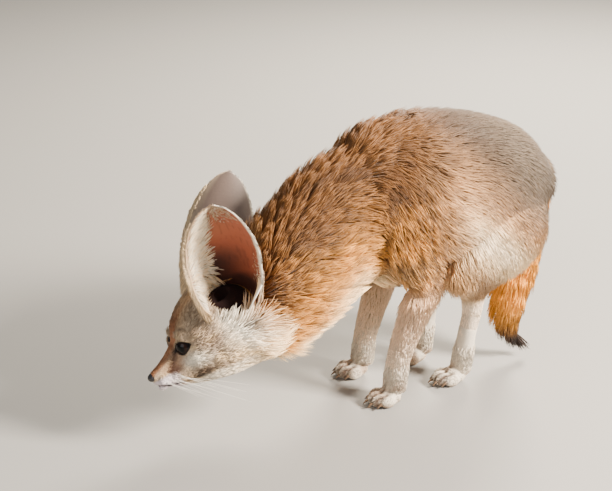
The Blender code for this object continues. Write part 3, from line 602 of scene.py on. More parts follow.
def settled(obj: Object, name: str) -> Object:
    """A new object with the mesh that obj's modifiers give, and obj removed.

    Args:
        obj: the object
        name: the new object's name

    Returns:
        the new object
    """
    graph = bpy.context.evaluated_depsgraph_get()
    mesh = bpy.data.meshes.new_from_object(obj.evaluated_get(graph))
    made = bpy.data.objects.new(name, mesh)
    bpy.context.scene.collection.objects.link(made)
    bpy.data.objects.remove(obj)
    return made


def fused(name: str, parts: list[Shell], voxel: float, rounds: int) -> Object:
    """Overlapping closed shells made one smooth skin by a voxel remesh and rounds of smoothing.

    Args:
        name: the new object's name
        parts: the shells
        voxel: the remesh's size in mm
        rounds: of smoothing

    Returns:
        the skin
    """
    whole = outward(make_object(name + "_shells", *merged(parts)))
    remesh = whole.modifiers.new("remesh", "REMESH")
    remesh.mode = "VOXEL"
    remesh.voxel_size = voxel * MM
    smooth = whole.modifiers.new("smooth", "SMOOTH")
    smooth.factor = 0.5
    smooth.iterations = rounds
    return settled(whole, name)


# Paths of the body


class Part(Enum):
    """The parts of the body whose coat lies its own way."""

    TORSO = "torso"
    NECK = "neck"
    LEFT_FORELEG = "left_foreleg"
    RIGHT_FORELEG = "right_foreleg"
    LEFT_HIND_LEG = "left_hind_leg"
    RIGHT_HIND_LEG = "right_hind_leg"
    TAIL = "tail"


@dataclass
class Path:
    """A limb or the trunk as a path: stations of centre, reach up, down and sideways, and depth of coat."""

    stations: list
    samples: int = 60

    def __post_init__(self) -> None:
        """Read the stations at even steps."""
        self.rows = smooth_rows(np.array(self.stations, float), self.samples)
        self.centres = self.rows[:, :3]
        self.tangents, self.across, self.upward = frames(self.centres)
        self.length = float(np.linalg.norm(np.diff(self.centres, axis=0), axis=1).sum())

    def shell(self) -> Shell:
        """The skin of this path: its outline drawn in by the depth of the coat."""
        reach = [np.maximum(self.rows[:, c] - self.rows[:, 6], LEAST_REACH) for c in (3, 4, 5)]
        return tube_mesh(self.centres, self.tangents, self.across, self.upward, *reach, around=32)

    def place(self, points: Array) -> dict[str, Array]:
        """Where points lie on the path, each as a share of its outline there.

        Args:
            points: in mm, in the fox's frame

        Returns:
            arrays by name: share along the path, turn round it, how far up it, how far out and its
            tangent
        """
        near = np.empty(len(points), int)
        for start in range(0, len(points), BLOCK):
            block = points[start : start + BLOCK]
            away = ((block[:, None] - self.centres[None]) ** 2).sum(axis=2)
            near[start : start + BLOCK] = away.argmin(axis=1)
        rel = points - self.centres[near]
        along = (rel * self.tangents[near]).sum(axis=1)
        side = (rel * self.across[near]).sum(axis=1)
        high = (rel * self.upward[near]).sum(axis=1)
        row = self.rows[near]
        reach = np.where(high >= 0, row[:, 3], row[:, 4])
        flat = np.sqrt((side / row[:, 5]) ** 2 + (high / reach) ** 2)
        beyond = np.maximum(0.0, np.abs(along) - self.length / self.samples) / reach
        ends = (near == 0) | (near == self.samples - 1)
        turn = np.arctan2(high / reach, side / row[:, 5])
        return {
            "share": near / (self.samples - 1),
            "turn": turn,
            "high": np.sin(turn) * self.upward[near][:, 2],
            "out": flat + np.where(ends, beyond, 0.0),
            "tangent": self.tangents[near],
        }


def mirrored(stations: list, shift: tuple[float, float] = (0.0, 0.0)) -> list:
    """The stations of a left limb made a right one, its foot moved by shift and its root left alone.

    Args:
        stations: the rows of a path
        shift: of the foot in x and y

    Returns:
        the new stations
    """
    made = []
    for x, y, z, *rest in stations:
        share = min(1.0, max(0.0, 1.0 - z / ROOT_HEIGHT))
        made.append((x + shift[0] * share, -y + shift[1] * share, z, *rest))
    return made


@dataclass
class Foot:
    """A paw: where it stands, its half width and its length."""

    part: Part
    at: tuple[float, float]
    half: float
    length: float


FEET = [
    Foot(Part.LEFT_FORELEG, (4.5, -23.0), 11.5, 20.0),
    Foot(Part.RIGHT_FORELEG, (7.5, 27.0), 11.5, 20.0),
    Foot(Part.LEFT_HIND_LEG, (64.0, -19.0), 10.5, 22.0),
    Foot(Part.RIGHT_HIND_LEG, (58.0, 24.0), 10.5, 22.0),
]
PATHS = {
    Part.TORSO: Path(TORSO),
    Part.NECK: Path(NECK),
    Part.LEFT_FORELEG: Path(FORELEG),
    Part.RIGHT_FORELEG: Path(mirrored(FORELEG, (4.0, 4.0))),
    Part.LEFT_HIND_LEG: Path(HAUNCH),
    Part.RIGHT_HIND_LEG: Path(mirrored(HAUNCH, (-6.0, 5.0))),
    Part.TAIL: Path(TAIL),
}
FORELEGS = (Part.LEFT_FORELEG, Part.RIGHT_FORELEG)
HIND_LEGS = (Part.LEFT_HIND_LEG, Part.RIGHT_HIND_LEG)
LEGS = (*FORELEGS, *HIND_LEGS)


# The head


def closed_curve(points: Array, steps: int) -> Array:
    """A closed smooth cubic curve through points, with so many steps from each to the next.

    Args:
        points: its corners
        steps: to each corner

    Returns:
        points along it
    """
    a, b, c, d = (np.roll(points, shift, axis=0)[:, None] for shift in (1, 0, -1, -2))
    t = (np.arange(steps) / steps)[None, :, None]
    curve = b + 0.5 * t * (c - a + t * (2 * a - 5 * b + 4 * c - d + t * (3 * (b - c) + d - a)))
    return curve.reshape(-1, points.shape[1])


def face_depth(x: Array) -> Array:
    """Depth of the coat over the head at x behind the nose."""
    return np.interp(x, [0, 12, 24, 34, 50, 70, 90], [0.5, 0.8, 1.2, 2.4, 4.0, 5.5, 7.0])


def mouth_height(x: Array) -> Array:
    """Height of the line of the mouth at x behind the nose."""
    return np.interp(x, MOUTH[:, 0], MOUTH[:, 1])


def skull_shell() -> Shell:
    """The head's main form in its own frame: smooth closed sections, drawn in by the depth of the coat.

    Returns:
        its points and triangles
    """
    xs = np.array([x for x, _ in SKULL], float)
    sides = np.array([points for _, points in SKULL], float)
    middle = sides.mean(axis=1, keepdims=True) * (0, 1)
    rel = sides - middle
    sides = middle + rel - unit(rel) * face_depth(xs)[:, None, None]
    sides[:, (0, -1), 0] = 0.0
    mirror = sides[:, -2:0:-1] * np.array([-1.0, 1.0])
    loops = np.concatenate([sides, mirror], axis=1)
    rows = np.concatenate([xs[:, None], np.zeros((len(xs), 2)), loops.reshape(len(xs), -1)], axis=1)
    rows = smooth_rows(rows, 60)
    rings = []
    for row in rows:
        loop = closed_curve(row[3:].reshape(-1, 2), 5)
        rings.append(np.column_stack([np.full(len(loop), row[0]), loop]))

    def capped(ring: Array, reach: float, degrees: float) -> Array:
        """A ring drawn together and moved along x as on an ellipsoid.

        Args:
            ring: the ring
            reach: of the cap along x
            degrees: of turn from the rim to the pole

        Returns:
            the new ring
        """
        turn = math.radians(degrees)
        middle = ring.mean(axis=0)
        return middle + (ring - middle) * math.cos(turn) + np.array([reach * math.sin(turn), 0, 0])

    front, back = rings[0], rings[-1]
    muzzle, nape = -3.0, 6.0
    turns = (20, 42, 62, 80)
    rings = [capped(front, muzzle, a) for a in turns[::-1]] + rings
    rings += [capped(back, nape, a) for a in turns]
    poles = [front.mean(axis=0) + (muzzle, 0, 0), back.mean(axis=0) + (nape, 0, 0)]
    return np.vstack([*rings, *poles]), ring_faces(len(rings), len(front))


def eye_frame(side: int) -> tuple[Array, Array, Array, Array]:
    """Centre of an eyeball, the way it looks, the way to its front corner and up, in the head's frame.

    Args:
        side: -1 for the left, 1 for the right

    Returns:
        a point and three unit vectors
    """
    mirror = np.array([1.0, side, 1.0])
    out = unit(EYE_OUT * mirror)
    forward = np.array([-0.69, -0.72 * side, 0.06])
    forward = unit(forward - out * (forward @ out))
    up = np.cross(out, forward)
    return EYE_CENTRE * mirror, out, forward, up * np.sign(up[2])


def eye_opening(head: Array, side: int) -> Array:
    """How far points are out of an eye's opening: below 1 inside it. It is an almond, pointed at the corners.

    With a along the opening and b up it, in half lengths, the value is sqrt(a^2 + (b / (1 - 0.42 a^2))^2).

    Args:
        head: in mm, in the head's frame
        side: -1 for the left, 1 for the right

    Returns:
        the value for each place
    """
    centre, out, forward, up = eye_frame(side)
    rel = head - centre
    a = rel @ forward / EYE_HALF[0]
    b = (rel @ up + 0.06 * (rel @ forward)) / EYE_HALF[1]
    value = np.sqrt(a**2 + (b / (1 - EYE_ALMOND * np.minimum(a**2, 1.3))) ** 2)
    return np.where(rel @ out > 0, value, 9.0)


def tear_line(head: Array, side: int) -> Array:
    """How dark the skin is by the front corner of an eye: a bell round a point just before and below it.

    Args:
        head: in mm, in the head's frame
        side: -1 for the left, 1 for the right

    Returns:
        a share for each place
    """
    centre, _, forward, up = eye_frame(side)
    rel = head - centre
    return bump(rel @ forward, 7.4, 2.2) * bump(rel @ up, -1.6, 1.5)


@dataclass
class Ear:
    """One ear cup: which side it is on, its axis and the way the cup faces, in the head's frame."""

    name: str
    side: int
    axis: tuple[float, float, float]
    faces: tuple[float, float, float]

    def base(self) -> tuple[Array, Array, Array, Array]:
        """The ear's root, its axis, the way its cup faces and the direction across it.

        Returns:
            a point and three unit vectors in the head's frame
        """
        mirror = np.array([1.0, self.side, 1.0])
        axis = unit(np.array(self.axis) * mirror)
        faces = np.array(self.faces) * mirror
        faces = unit(faces - axis * (faces @ axis))
        return EAR_ROOT * mirror, axis, faces, np.cross(axis, faces)

    def grid(self, u: Array, v: Array) -> Array:
        """Points of the cup's middle surface: u runs from root to tip, v from margin to margin (-1 to 1).

        A section at each height is an arc: near the root it closes round almost to a tube, and it opens to
        a shallow leaf towards the rounded tip.

        Args:
            u: from root to tip
            v: from margin to margin

        Returns:
            points in the head's frame
        """
        root, axis, faces, sideways = self.base()
        half = EAR_HALF_WIDTH * np.interp(u, EAR_HEIGHTS, EAR_WIDTHS)
        opening = np.interp(u, [0, 0.12, 0.3, 0.55, 0.8, 1.0], EAR_OPENINGS)
        radius = half / np.sin(np.minimum(opening, np.pi / 2))
        first = EAR_HALF_WIDTH * EAR_WIDTHS[0]
        bow = 5.0 * np.sin(np.pi * u) - 3.0 * u**2
        angle = v * opening
        out = radius * (1 - np.cos(angle)) - bow - first * (1 - u)
        return (
            root
            + axis * (EAR_LENGTH * u - 9.0)[..., None]
            + sideways * (radius * np.sin(angle))[..., None]
            + faces * out[..., None]
        )

    def frame_at(self, u: Array, v: Array) -> tuple[Array, ...]:
        """Point, direction to the tip, direction to the margin and normal into the cup, at u and v.

        Args:
            u: from root to tip
            v: from margin to margin

        Returns:
            four arrays in the head's frame
        """
        step = 0.01
        place = self.grid(u, v)
        tip = unit(self.grid(np.minimum(u + step, 1), v) - self.grid(np.maximum(u - step, 0), v))
        margin = unit(self.grid(u, v + step) - self.grid(u, v - step))
        inward = unit(np.cross(tip, margin))
        _, _, faces, _ = self.base()
        inward *= np.sign((inward @ faces).mean())
        return place, tip, margin, inward

    def front(self) -> float:
        """The sign of v on the margin nearer the nose."""
        ends = self.grid(np.array([0.55, 0.55]), np.array([-1.0, 1.0]))
        return -1.0 if ends[0, 0] < ends[1, 0] else 1.0

    def hollow_place(self, head: Array) -> Array:
        """Points in the half axes of the ellipsoid that hollows the bottom of the cup.

        Args:
            head: in mm, in the head's frame

        Returns:
            a row for each place
        """
        root, axis, faces, across = self.base()
        rel = head - (root + axis * HOLLOW_AT[0] + faces * HOLLOW_AT[1])
        return np.stack([rel @ way / half for way, half in zip((axis, faces, across), HOLLOW_HALF)], axis=1)

    def hollow_reach(self, head: Array) -> Array:
        """The square of how far points are out of that ellipsoid: below 1 inside it."""
        return (self.hollow_place(head) ** 2).sum(axis=1)

    def hollowed(self, head: Array) -> Array:
        """Points of the skin inside the hollow, let down on to its lower face along the ear's axis.

        Args:
            head: in mm, in the head's frame

        Returns:
            the moved points
        """
        _, axis, _, _ = self.base()
        q = self.hollow_place(head)
        inside = (self.hollow_reach(head) < 1.0) & (q[:, 0] > -0.6)
        floor = -np.sqrt(np.clip(1 - q[:, 1] ** 2 - q[:, 2] ** 2, 0, 1))
        drop = np.where(inside, (floor - q[:, 0]) * HOLLOW_HALF[0], 0.0)
        return head + axis * drop[:, None]


EARS = [
    Ear("left_ear", -1, (0.125, 0.570, 0.812), (-0.45, 0.78, -0.44)),
    Ear("right_ear", 1, (0.673, 0.185, 0.717), (0.15, 0.95, -0.20)),
]


# Markings


@dataclass
class Lie:
    """What the coat needs to know at each of many places: normal, lie, length, lift, colour and the rest."""

    points: Array
    normals: Array
    flow: Array
    length: Array
    lift: Array
    width: Array
    clump: Array
    colour: Array
    dark_tip: Array
    uv: Array


def blended(points: Array) -> tuple[dict[Part, dict], dict[Part, Array]]:
    """The place of points on each path, and how much each path rules there.

    The weight is exp(-RULE * (out - least out)), made to add up to one.

    Args:
        points: in mm, in the fox's frame

    Returns:
        two dictionaries by path
    """
    places = {part: path.place(points) for part, path in PATHS.items()}
    outs = np.stack([places[part]["out"] for part in PATHS])
    weights = np.exp(-RULE * (outs - outs.min(axis=0)))
    weights /= weights.sum(axis=0)
    return places, dict(zip(PATHS, weights))


def body_colour(points: Array, places: dict, weights: dict) -> Array:
    """The coat's own colour on the body.

    Gold on the neck and shoulders turns to grey-tan along the back. On each flank a pale band runs down and
    back: its middle is about the line z - 127 + 0.67 (x - 58) = 0. Legs are white and the tail is orange.
    Each marking is a tone mixed in where bells and ramps of the place allow it. The paler elbow and upper
    foreleg are painted light, and the bottoms of the ear cups are painted shade.

    Args:
        points: in mm, in the fox's frame
        places: where the points lie on each path
        weights: how much each path rules

    Returns:
        a colour for each place
    """
    x, y, z = points.T
    wave = (cloud(points, 24.0, 5) - 0.5) * 0.45
    high = places[Part.TORSO]["high"] + wave
    side = ramp(np.abs(y), 12, 32)
    fore = mix(mix(CREAM, GOLD, ramp(high, -0.85, -0.25)), GOLD_DEEP, 0.85 * ramp(high, -0.1, 0.7))
    rear = mix(BACK_TAN, RUMP_GREY, ramp(x + 20 * wave, 40, 110))
    colour = mix(fore, rear, ramp(x + 26 * wave, -6.0, 56.0) * ramp(high, -0.75, -0.1))
    under = z - 127 + 0.67 * (x - 58) + 14 * wave
    colour = mix(colour, FLANK_TAN, 0.85 * bump(under, 16, 26) * side * ramp(x, -5, 40))
    belly = 0.8 * (1 - ramp(under, -34, -16)) * side * (1 - ramp(x, 40, 62))
    colour = mix(colour, mix(GOLD, GOLD_DEEP, 0.35), belly)
    colour = mix(colour, CREAM, 0.85 * bump(under, 2, 15) * side * ramp(x, 22, 62))
    colour = mix(colour, WHITE, 0.5 * bump(under, -5, 13) * side * ramp(x, 34, 78))
    colour = mix(colour, CREAM, 0.9 * (1 - ramp(high, -0.95, -0.6)) * ramp(x, 0, 50))
    high_neck = places[Part.NECK]["high"] + wave
    on_neck = mix(CREAM, GOLD, ramp(high_neck, -0.75, -0.15))
    on_neck = mix(on_neck, GOLD_DEEP, 0.85 * ramp(high_neck, -0.1, 0.6))
    colour = mix(colour, on_neck, weights[Part.NECK])
    for part in FORELEGS:
        low = mix(mix(WHITE, LEG_CREAM, 0.6 + 0.4 * ramp(z, 30, 60)), GOLD, ramp(z + 22 * wave, 74.0, 110.0))
        colour = mix(colour, low, weights[part] * (1 - ramp(z, 92, 122)))
    for part in HIND_LEGS:
        colour = mix(colour, mix(WHITE, LEG_CREAM, 0.6), weights[part] * (1 - ramp(z + 14 * wave, 62, 80)))
    lower_thigh = (1 - ramp(under, -32, -12)) * ramp(x, 46, 62) * ramp(z, 64, 78)
    colour = mix(colour, BREECH_BROWN, 0.8 * lower_thigh)
    # Painted light: paler patches on the elbow and the upper foreleg stand in for light falling there
    elbow_painted_light = bump(x, 40, 15) * bump(z, 100, 18) * side
    colour = mix(colour, FLANK_TAN, 0.40 * elbow_painted_light)
    arm_painted_light = bump(x, 20, 14) * bump(z, 92, 20) * side
    colour = mix(colour, FLANK_TAN, 0.55 * arm_painted_light)
    seat = bump(x, 146, 12) * bump(z, 150, 16) * bump(y, 0, 14)
    colour = mix(colour, DARK_BROWN, 0.5 * seat)
    tail = places[Part.TAIL]
    brush = mix(TAIL_ORANGE, GOLD_DEEP, 0.45 * ramp(-np.sin(tail["turn"]), -0.2, 0.8))
    brush = mix(brush, TAIL_DARK, ramp(tail["share"] + 0.25 * wave, 0.62, 0.82))
    colour = mix(colour, brush, weights[Part.TAIL])
    head = to_head(points)
    # Painted shade: body skin at the bottom of an ear cup is painted nearly black
    for ear in EARS:
        colour = mix(colour, EAR_SHADE_AND_VEIN, 1 - ramp(np.sqrt(ear.hollow_reach(head)), 1.5, 1.75))
    return colour


def toe_gap_shade(points: Array) -> Array:
    """How much painted shade falls between the toes and at their sides.

    Args:
        points: in mm, in the fox's frame

    Returns:
        a share for each place
    """
    dark = np.zeros(len(points))
    for foot in FEET:
        rel_x = (points[:, 0] - foot.at[0]) / foot.length
        rel_y = (points[:, 1] - foot.at[1]) / foot.half
        between = bump(np.abs(rel_y), 0.47, 0.13) + bump(rel_y, 0.0, 0.13)
        on_foot = (np.abs(rel_y) < 1.3) * (points[:, 2] < 24) * (np.abs(rel_x) < 1.2)
        on_toes = ramp(-rel_x, 0.12, 0.40) * on_foot
        dark = np.maximum(dark, between * on_toes)
    return dark


def paw_colour(points: Array) -> Array:
    """The coat's colour on the paws: white to buff, with painted shade, dark brown, between the toes.

    Args:
        points: in mm, in the fox's frame

    Returns:
        a colour for each place
    """
    buff = ramp(cloud(points, 8.0, 31), 0.35, 0.75) * (1 - ramp(points[:, 2], 10, 30))
    colour = mix(WHITE, BREECH_BROWN, 0.25 + 0.45 * buff)
    # Painted shade, dark brown, in the gaps between the toes
    return mix(colour, DARK_BROWN, 0.9 * toe_gap_shade(points))


def head_colour(head: Array) -> Array:
    """The coat's colour on the head, in its own frame.

    The face is grey-cream with white cheeks, a tan crown, a brown bridge and a dark streak below the eye.

    Args:
        head: in mm, in the head's frame

    Returns:
        a colour for each place
    """
    x, y, z = head.T
    wide = np.abs(y)
    wave = (cloud(head, 9.0, 8) - 0.5) * 0.5
    fleck = cloud(head, 3.2, 18)
    colour = mix(FACE_GREY, CREAM, 0.55 * ramp(fleck, 0.45, 0.75))
    cheek = ramp(x + 14 * wave, 40, 58) * (1 - ramp(z + 8 * wave, 8, 20)) * ramp(wide, 12, 20)
    pale = mix(CREAM, WHITE, ramp(z + 6 * wave, -14, 2))
    colour = mix(colour, pale, cheek * (0.55 + 0.45 * ramp(fleck, 0.2, 0.5)))
    crown = ramp(z - 0.20 * (x - 30) + 6 * wave, 6.0, 16.0) * ramp(x, 24, 36)
    colour = mix(colour, FOREHEAD, 0.9 * crown * (0.6 + 0.8 * fleck))
    colour = mix(colour, GOLD, 0.45 * crown * (1 - ramp(wide, 4, 18)))
    bridge = ramp(z - 0.42 * (x - 4), 0.0, 3.0) * (1 - ramp(x, 30, 44)) * (1 - ramp(wide, 4.5, 9))
    colour = mix(colour, BRIDGE, 0.95 * bridge)
    flank = (1 - ramp(x, 22, 28)) * ramp(z, -3.5, -0.5) * ramp(x, 5, 9)
    colour = mix(colour, BRIDGE, 0.4 * flank)
    pad = (1 - ramp(x, 13, 18)) * (1 - ramp(z, -3.6, -1.6))
    colour = mix(colour, PAD_LILAC, 0.95 * pad)
    below = bump(x, 29, 8) * bump(z, -1.5, 4.6) * ramp(wide, 9, 13)
    colour = mix(colour, WHITE, 0.85 * below)
    streak = bump(x - 0.75 * (z - 8), 21.0, 2.7) * ramp(z, -5, -1) * (1 - ramp(z, 8, 11)) * ramp(wide, 5, 8)
    colour = mix(colour, STREAK, 0.9 * streak)
    blot = bump(x, 17.0, 4.8) * bump(z, -2.2, 3.4) * ramp(wide, 4, 7)
    colour = mix(colour, STREAK, 0.95 * blot)
    corner = bump(x, 30, 10.0) * bump(z, -10.6, 4.2) * ramp(wide, 8, 13)
    colour = mix(colour, STREAK * 0.6, 0.9 * corner * ramp(fleck, 0.25, 0.5))
    # Above the eye the flecks are darkened: partly their own brown, partly painted shade under the brow
    brow = bump(x, 36, 8) * bump(z, 15, 5) * ramp(wide, 9, 14)
    colour = mix(colour, STREAK, 0.5 * brow * ramp(fleck, 0.3, 0.7))
    behind = bump(x, 42, 9) * bump(z, 4, 7) * ramp(wide, 16, 22)
    colour = mix(colour, GOLD_DEEP, 0.45 * behind)
    chin = (1 - ramp(z, -17, -13)) * (1 - ramp(x, 44, 66))
    colour = mix(colour, WHITE, 0.6 * chin)
    lips = bump(z, mouth_height(x), 1.0) * (x < 33) * ramp(x, -2, 1)
    colour = mix(colour, LIP_DARK, 0.95 * lips)
    nape = ramp(x + 12 * wave, 58, 82)
    colour = mix(colour, mix(GOLD, CREAM, 0.75 * (1 - ramp(z, -18, 8))), nape)
    for side in (-1, 1):
        rim = eye_opening(head, side)
        colour = mix(colour, LIP_DARK, 1 - ramp(rim, 1.12, 1.4))
        colour = mix(colour, LIP_DARK, 0.9 * tear_line(head, side))
    # Painted shade: head skin at the bottom of an ear cup is painted nearly black
    for ear in EARS:
        colour = mix(colour, EAR_SHADE_AND_VEIN, 1 - ramp(np.sqrt(ear.hollow_reach(head)), 1.25, 1.5))
    return colour


# Finishes


def break_group() -> bpy.types.NodeTree:
    """A node group that breaks up a colour with fine noise and gives the noise as a height.

    The colour is the base times 1 + (noise - 0.5) * amount.

    Returns:
        the group
    """
    found = bpy.data.node_groups.get("broken_colour")
    if found:
        return found
    group = bpy.data.node_groups.new("broken_colour", "ShaderNodeTree")
    sockets = {
        "INPUT": (("Base", "Color"), ("Scale", "Float"), ("Amount", "Float")),
        "OUTPUT": (("Color", "Color"), ("Height", "Float")),
    }
    for way, named in sockets.items():
        for name, kind in named:
            group.interface.new_socket(name, in_out=way, socket_type="NodeSocket" + kind)
    nodes, links = group.nodes, group.links
    enter, leave = nodes.new("NodeGroupInput"), nodes.new("NodeGroupOutput")
    where = nodes.new("ShaderNodeTexCoord")
    noise = nodes.new("ShaderNodeTexNoise")
    noise.inputs["Detail"].default_value = 4.0
    links.new(where.outputs["Object"], noise.inputs["Vector"])
    links.new(enter.outputs["Scale"], noise.inputs["Scale"])
    less = nodes.new("ShaderNodeMath")
    less.operation = "SUBTRACT"
    less.inputs[1].default_value = 0.5
    links.new(noise.outputs["Fac"], less.inputs[0])
    gain = nodes.new("ShaderNodeMath")
    gain.operation = "MULTIPLY_ADD"
    gain.inputs[2].default_value = 1.0
    links.new(less.outputs[0], gain.inputs[0])
    links.new(enter.outputs["Amount"], gain.inputs[1])
    times = nodes.new("ShaderNodeVectorMath")
    times.operation = "SCALE"
    links.new(enter.outputs["Base"], times.inputs[0])
    links.new(gain.outputs[0], times.inputs["Scale"])
    links.new(times.outputs[0], leave.inputs["Color"])
    links.new(noise.outputs["Fac"], leave.inputs["Height"])
    return group


@dataclass(frozen=True)
class Finish:
    """A finish: colour from the mesh or fixed, broken by noise, with its roughness, bump and gloss coat."""

    name: str
    colour: tuple[float, float, float] | None = None
    rough: float = 0.8
    scale: float = 900.0
    amount: float = 0.25
    bump: float = 0.0
    specular: float = 0.3
    sheen: float = 0.0
    coat: float = 0.0

    def material(self) -> bpy.types.Material:
        """The material of this finish, made once.

        Returns:
            the material
        """
        found = bpy.data.materials.get(self.name)
        if found:
            return found
        material = bpy.data.materials.new(self.name)
        material.use_nodes = True
        nodes, links = material.node_tree.nodes, material.node_tree.links
        shader = nodes["Principled BSDF"]
        shader.inputs["Roughness"].default_value = self.rough
        shader.inputs["Specular IOR Level"].default_value = self.specular
        shader.inputs["Sheen Weight"].default_value = self.sheen
        shader.inputs["Coat Weight"].default_value = self.coat
        shader.inputs["Coat Roughness"].default_value = 0.04
        broken = nodes.new("ShaderNodeGroup")
        broken.node_tree = break_group()
        broken.inputs["Scale"].default_value = self.scale
        broken.inputs["Amount"].default_value = self.amount
        if self.colour is None:
            source = nodes.new("ShaderNodeVertexColor")
            source.layer_name = "coat"
            links.new(source.outputs["Color"], broken.inputs["Base"])
        else:
            broken.inputs["Base"].default_value = (*self.colour, 1.0)
        links.new(broken.outputs["Color"], shader.inputs["Base Color"])
        if self.bump:
            relief = nodes.new("ShaderNodeBump")
            relief.inputs["Strength"].default_value = self.bump
            relief.inputs["Distance"].default_value = 0.0004
            links.new(broken.outputs["Height"], relief.inputs["Height"])
            links.new(relief.outputs["Normal"], shader.inputs["Normal"])
        return material

    def dress(self, obj: Object) -> None:
        """Give an object this finish."""
        obj.data.materials.clear()
        obj.data.materials.append(self.material())


COAT_FINISH = Finish("fur_coat", rough=0.68, amount=0.30, sheen=0.05, specular=0.25)
SKIN_FINISH = Finish("fur_skin", rough=0.85, scale=1400.0, amount=0.5, bump=0.6, specular=0.2)
EAR_FINISH = Finish("ear_skin", rough=0.55, scale=500.0, amount=0.18, bump=0.3, specular=0.35)
EYE_FINISH = Finish("eye_gloss", rough=0.05, scale=300.0, amount=0.1, specular=0.16)
NOSE_FINISH = Finish("nose_leather", (0.012, 0.010, 0.010), 0.42, 2200.0, 0.4, 0.7, 0.5, coat=0.15)
CLAW_FINISH = Finish("claw_horn", tuple(tone(92, 74, 58)), 0.35, 700.0, 0.4, 0.2, 0.4)
WHISKER_FINISH = Finish("whisker", tuple(tone(236, 230, 220)), 0.45, 300.0, 0.1, 0.0, 0.4)
FLOOR_FINISH = Finish("floor_pale", tuple(tone(150, 148, 144)), 0.9, 3.0, 0.02, 0.0, 0.2)


def paint(obj: Object, colours: Array) -> None:
    """Store a colour for each of an object's points, for its finish to read.

    Args:
        obj: the object
        colours: a linear colour for each point
    """
    layer = obj.data.color_attributes.new("coat", "FLOAT_COLOR", "POINT")
    rgba = np.ones((len(colours), 4), np.float32)
    rgba[:, :3] = colours
    layer.data.foreach_set("color", rgba.ravel())


def place_piece(obj: Object, nodes: tuple[str, ...] = ()) -> None:
    """Let a piece ride on the model, hide the nodes it stands for and log its face count.

    Args:
        obj: the object
        nodes: the nodes that it replaces
    """
    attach(obj, "root")
    if nodes:
        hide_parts(*nodes)
    LOG.info("%s: %d faces", obj.name, len(obj.data.polygons))


# The coat


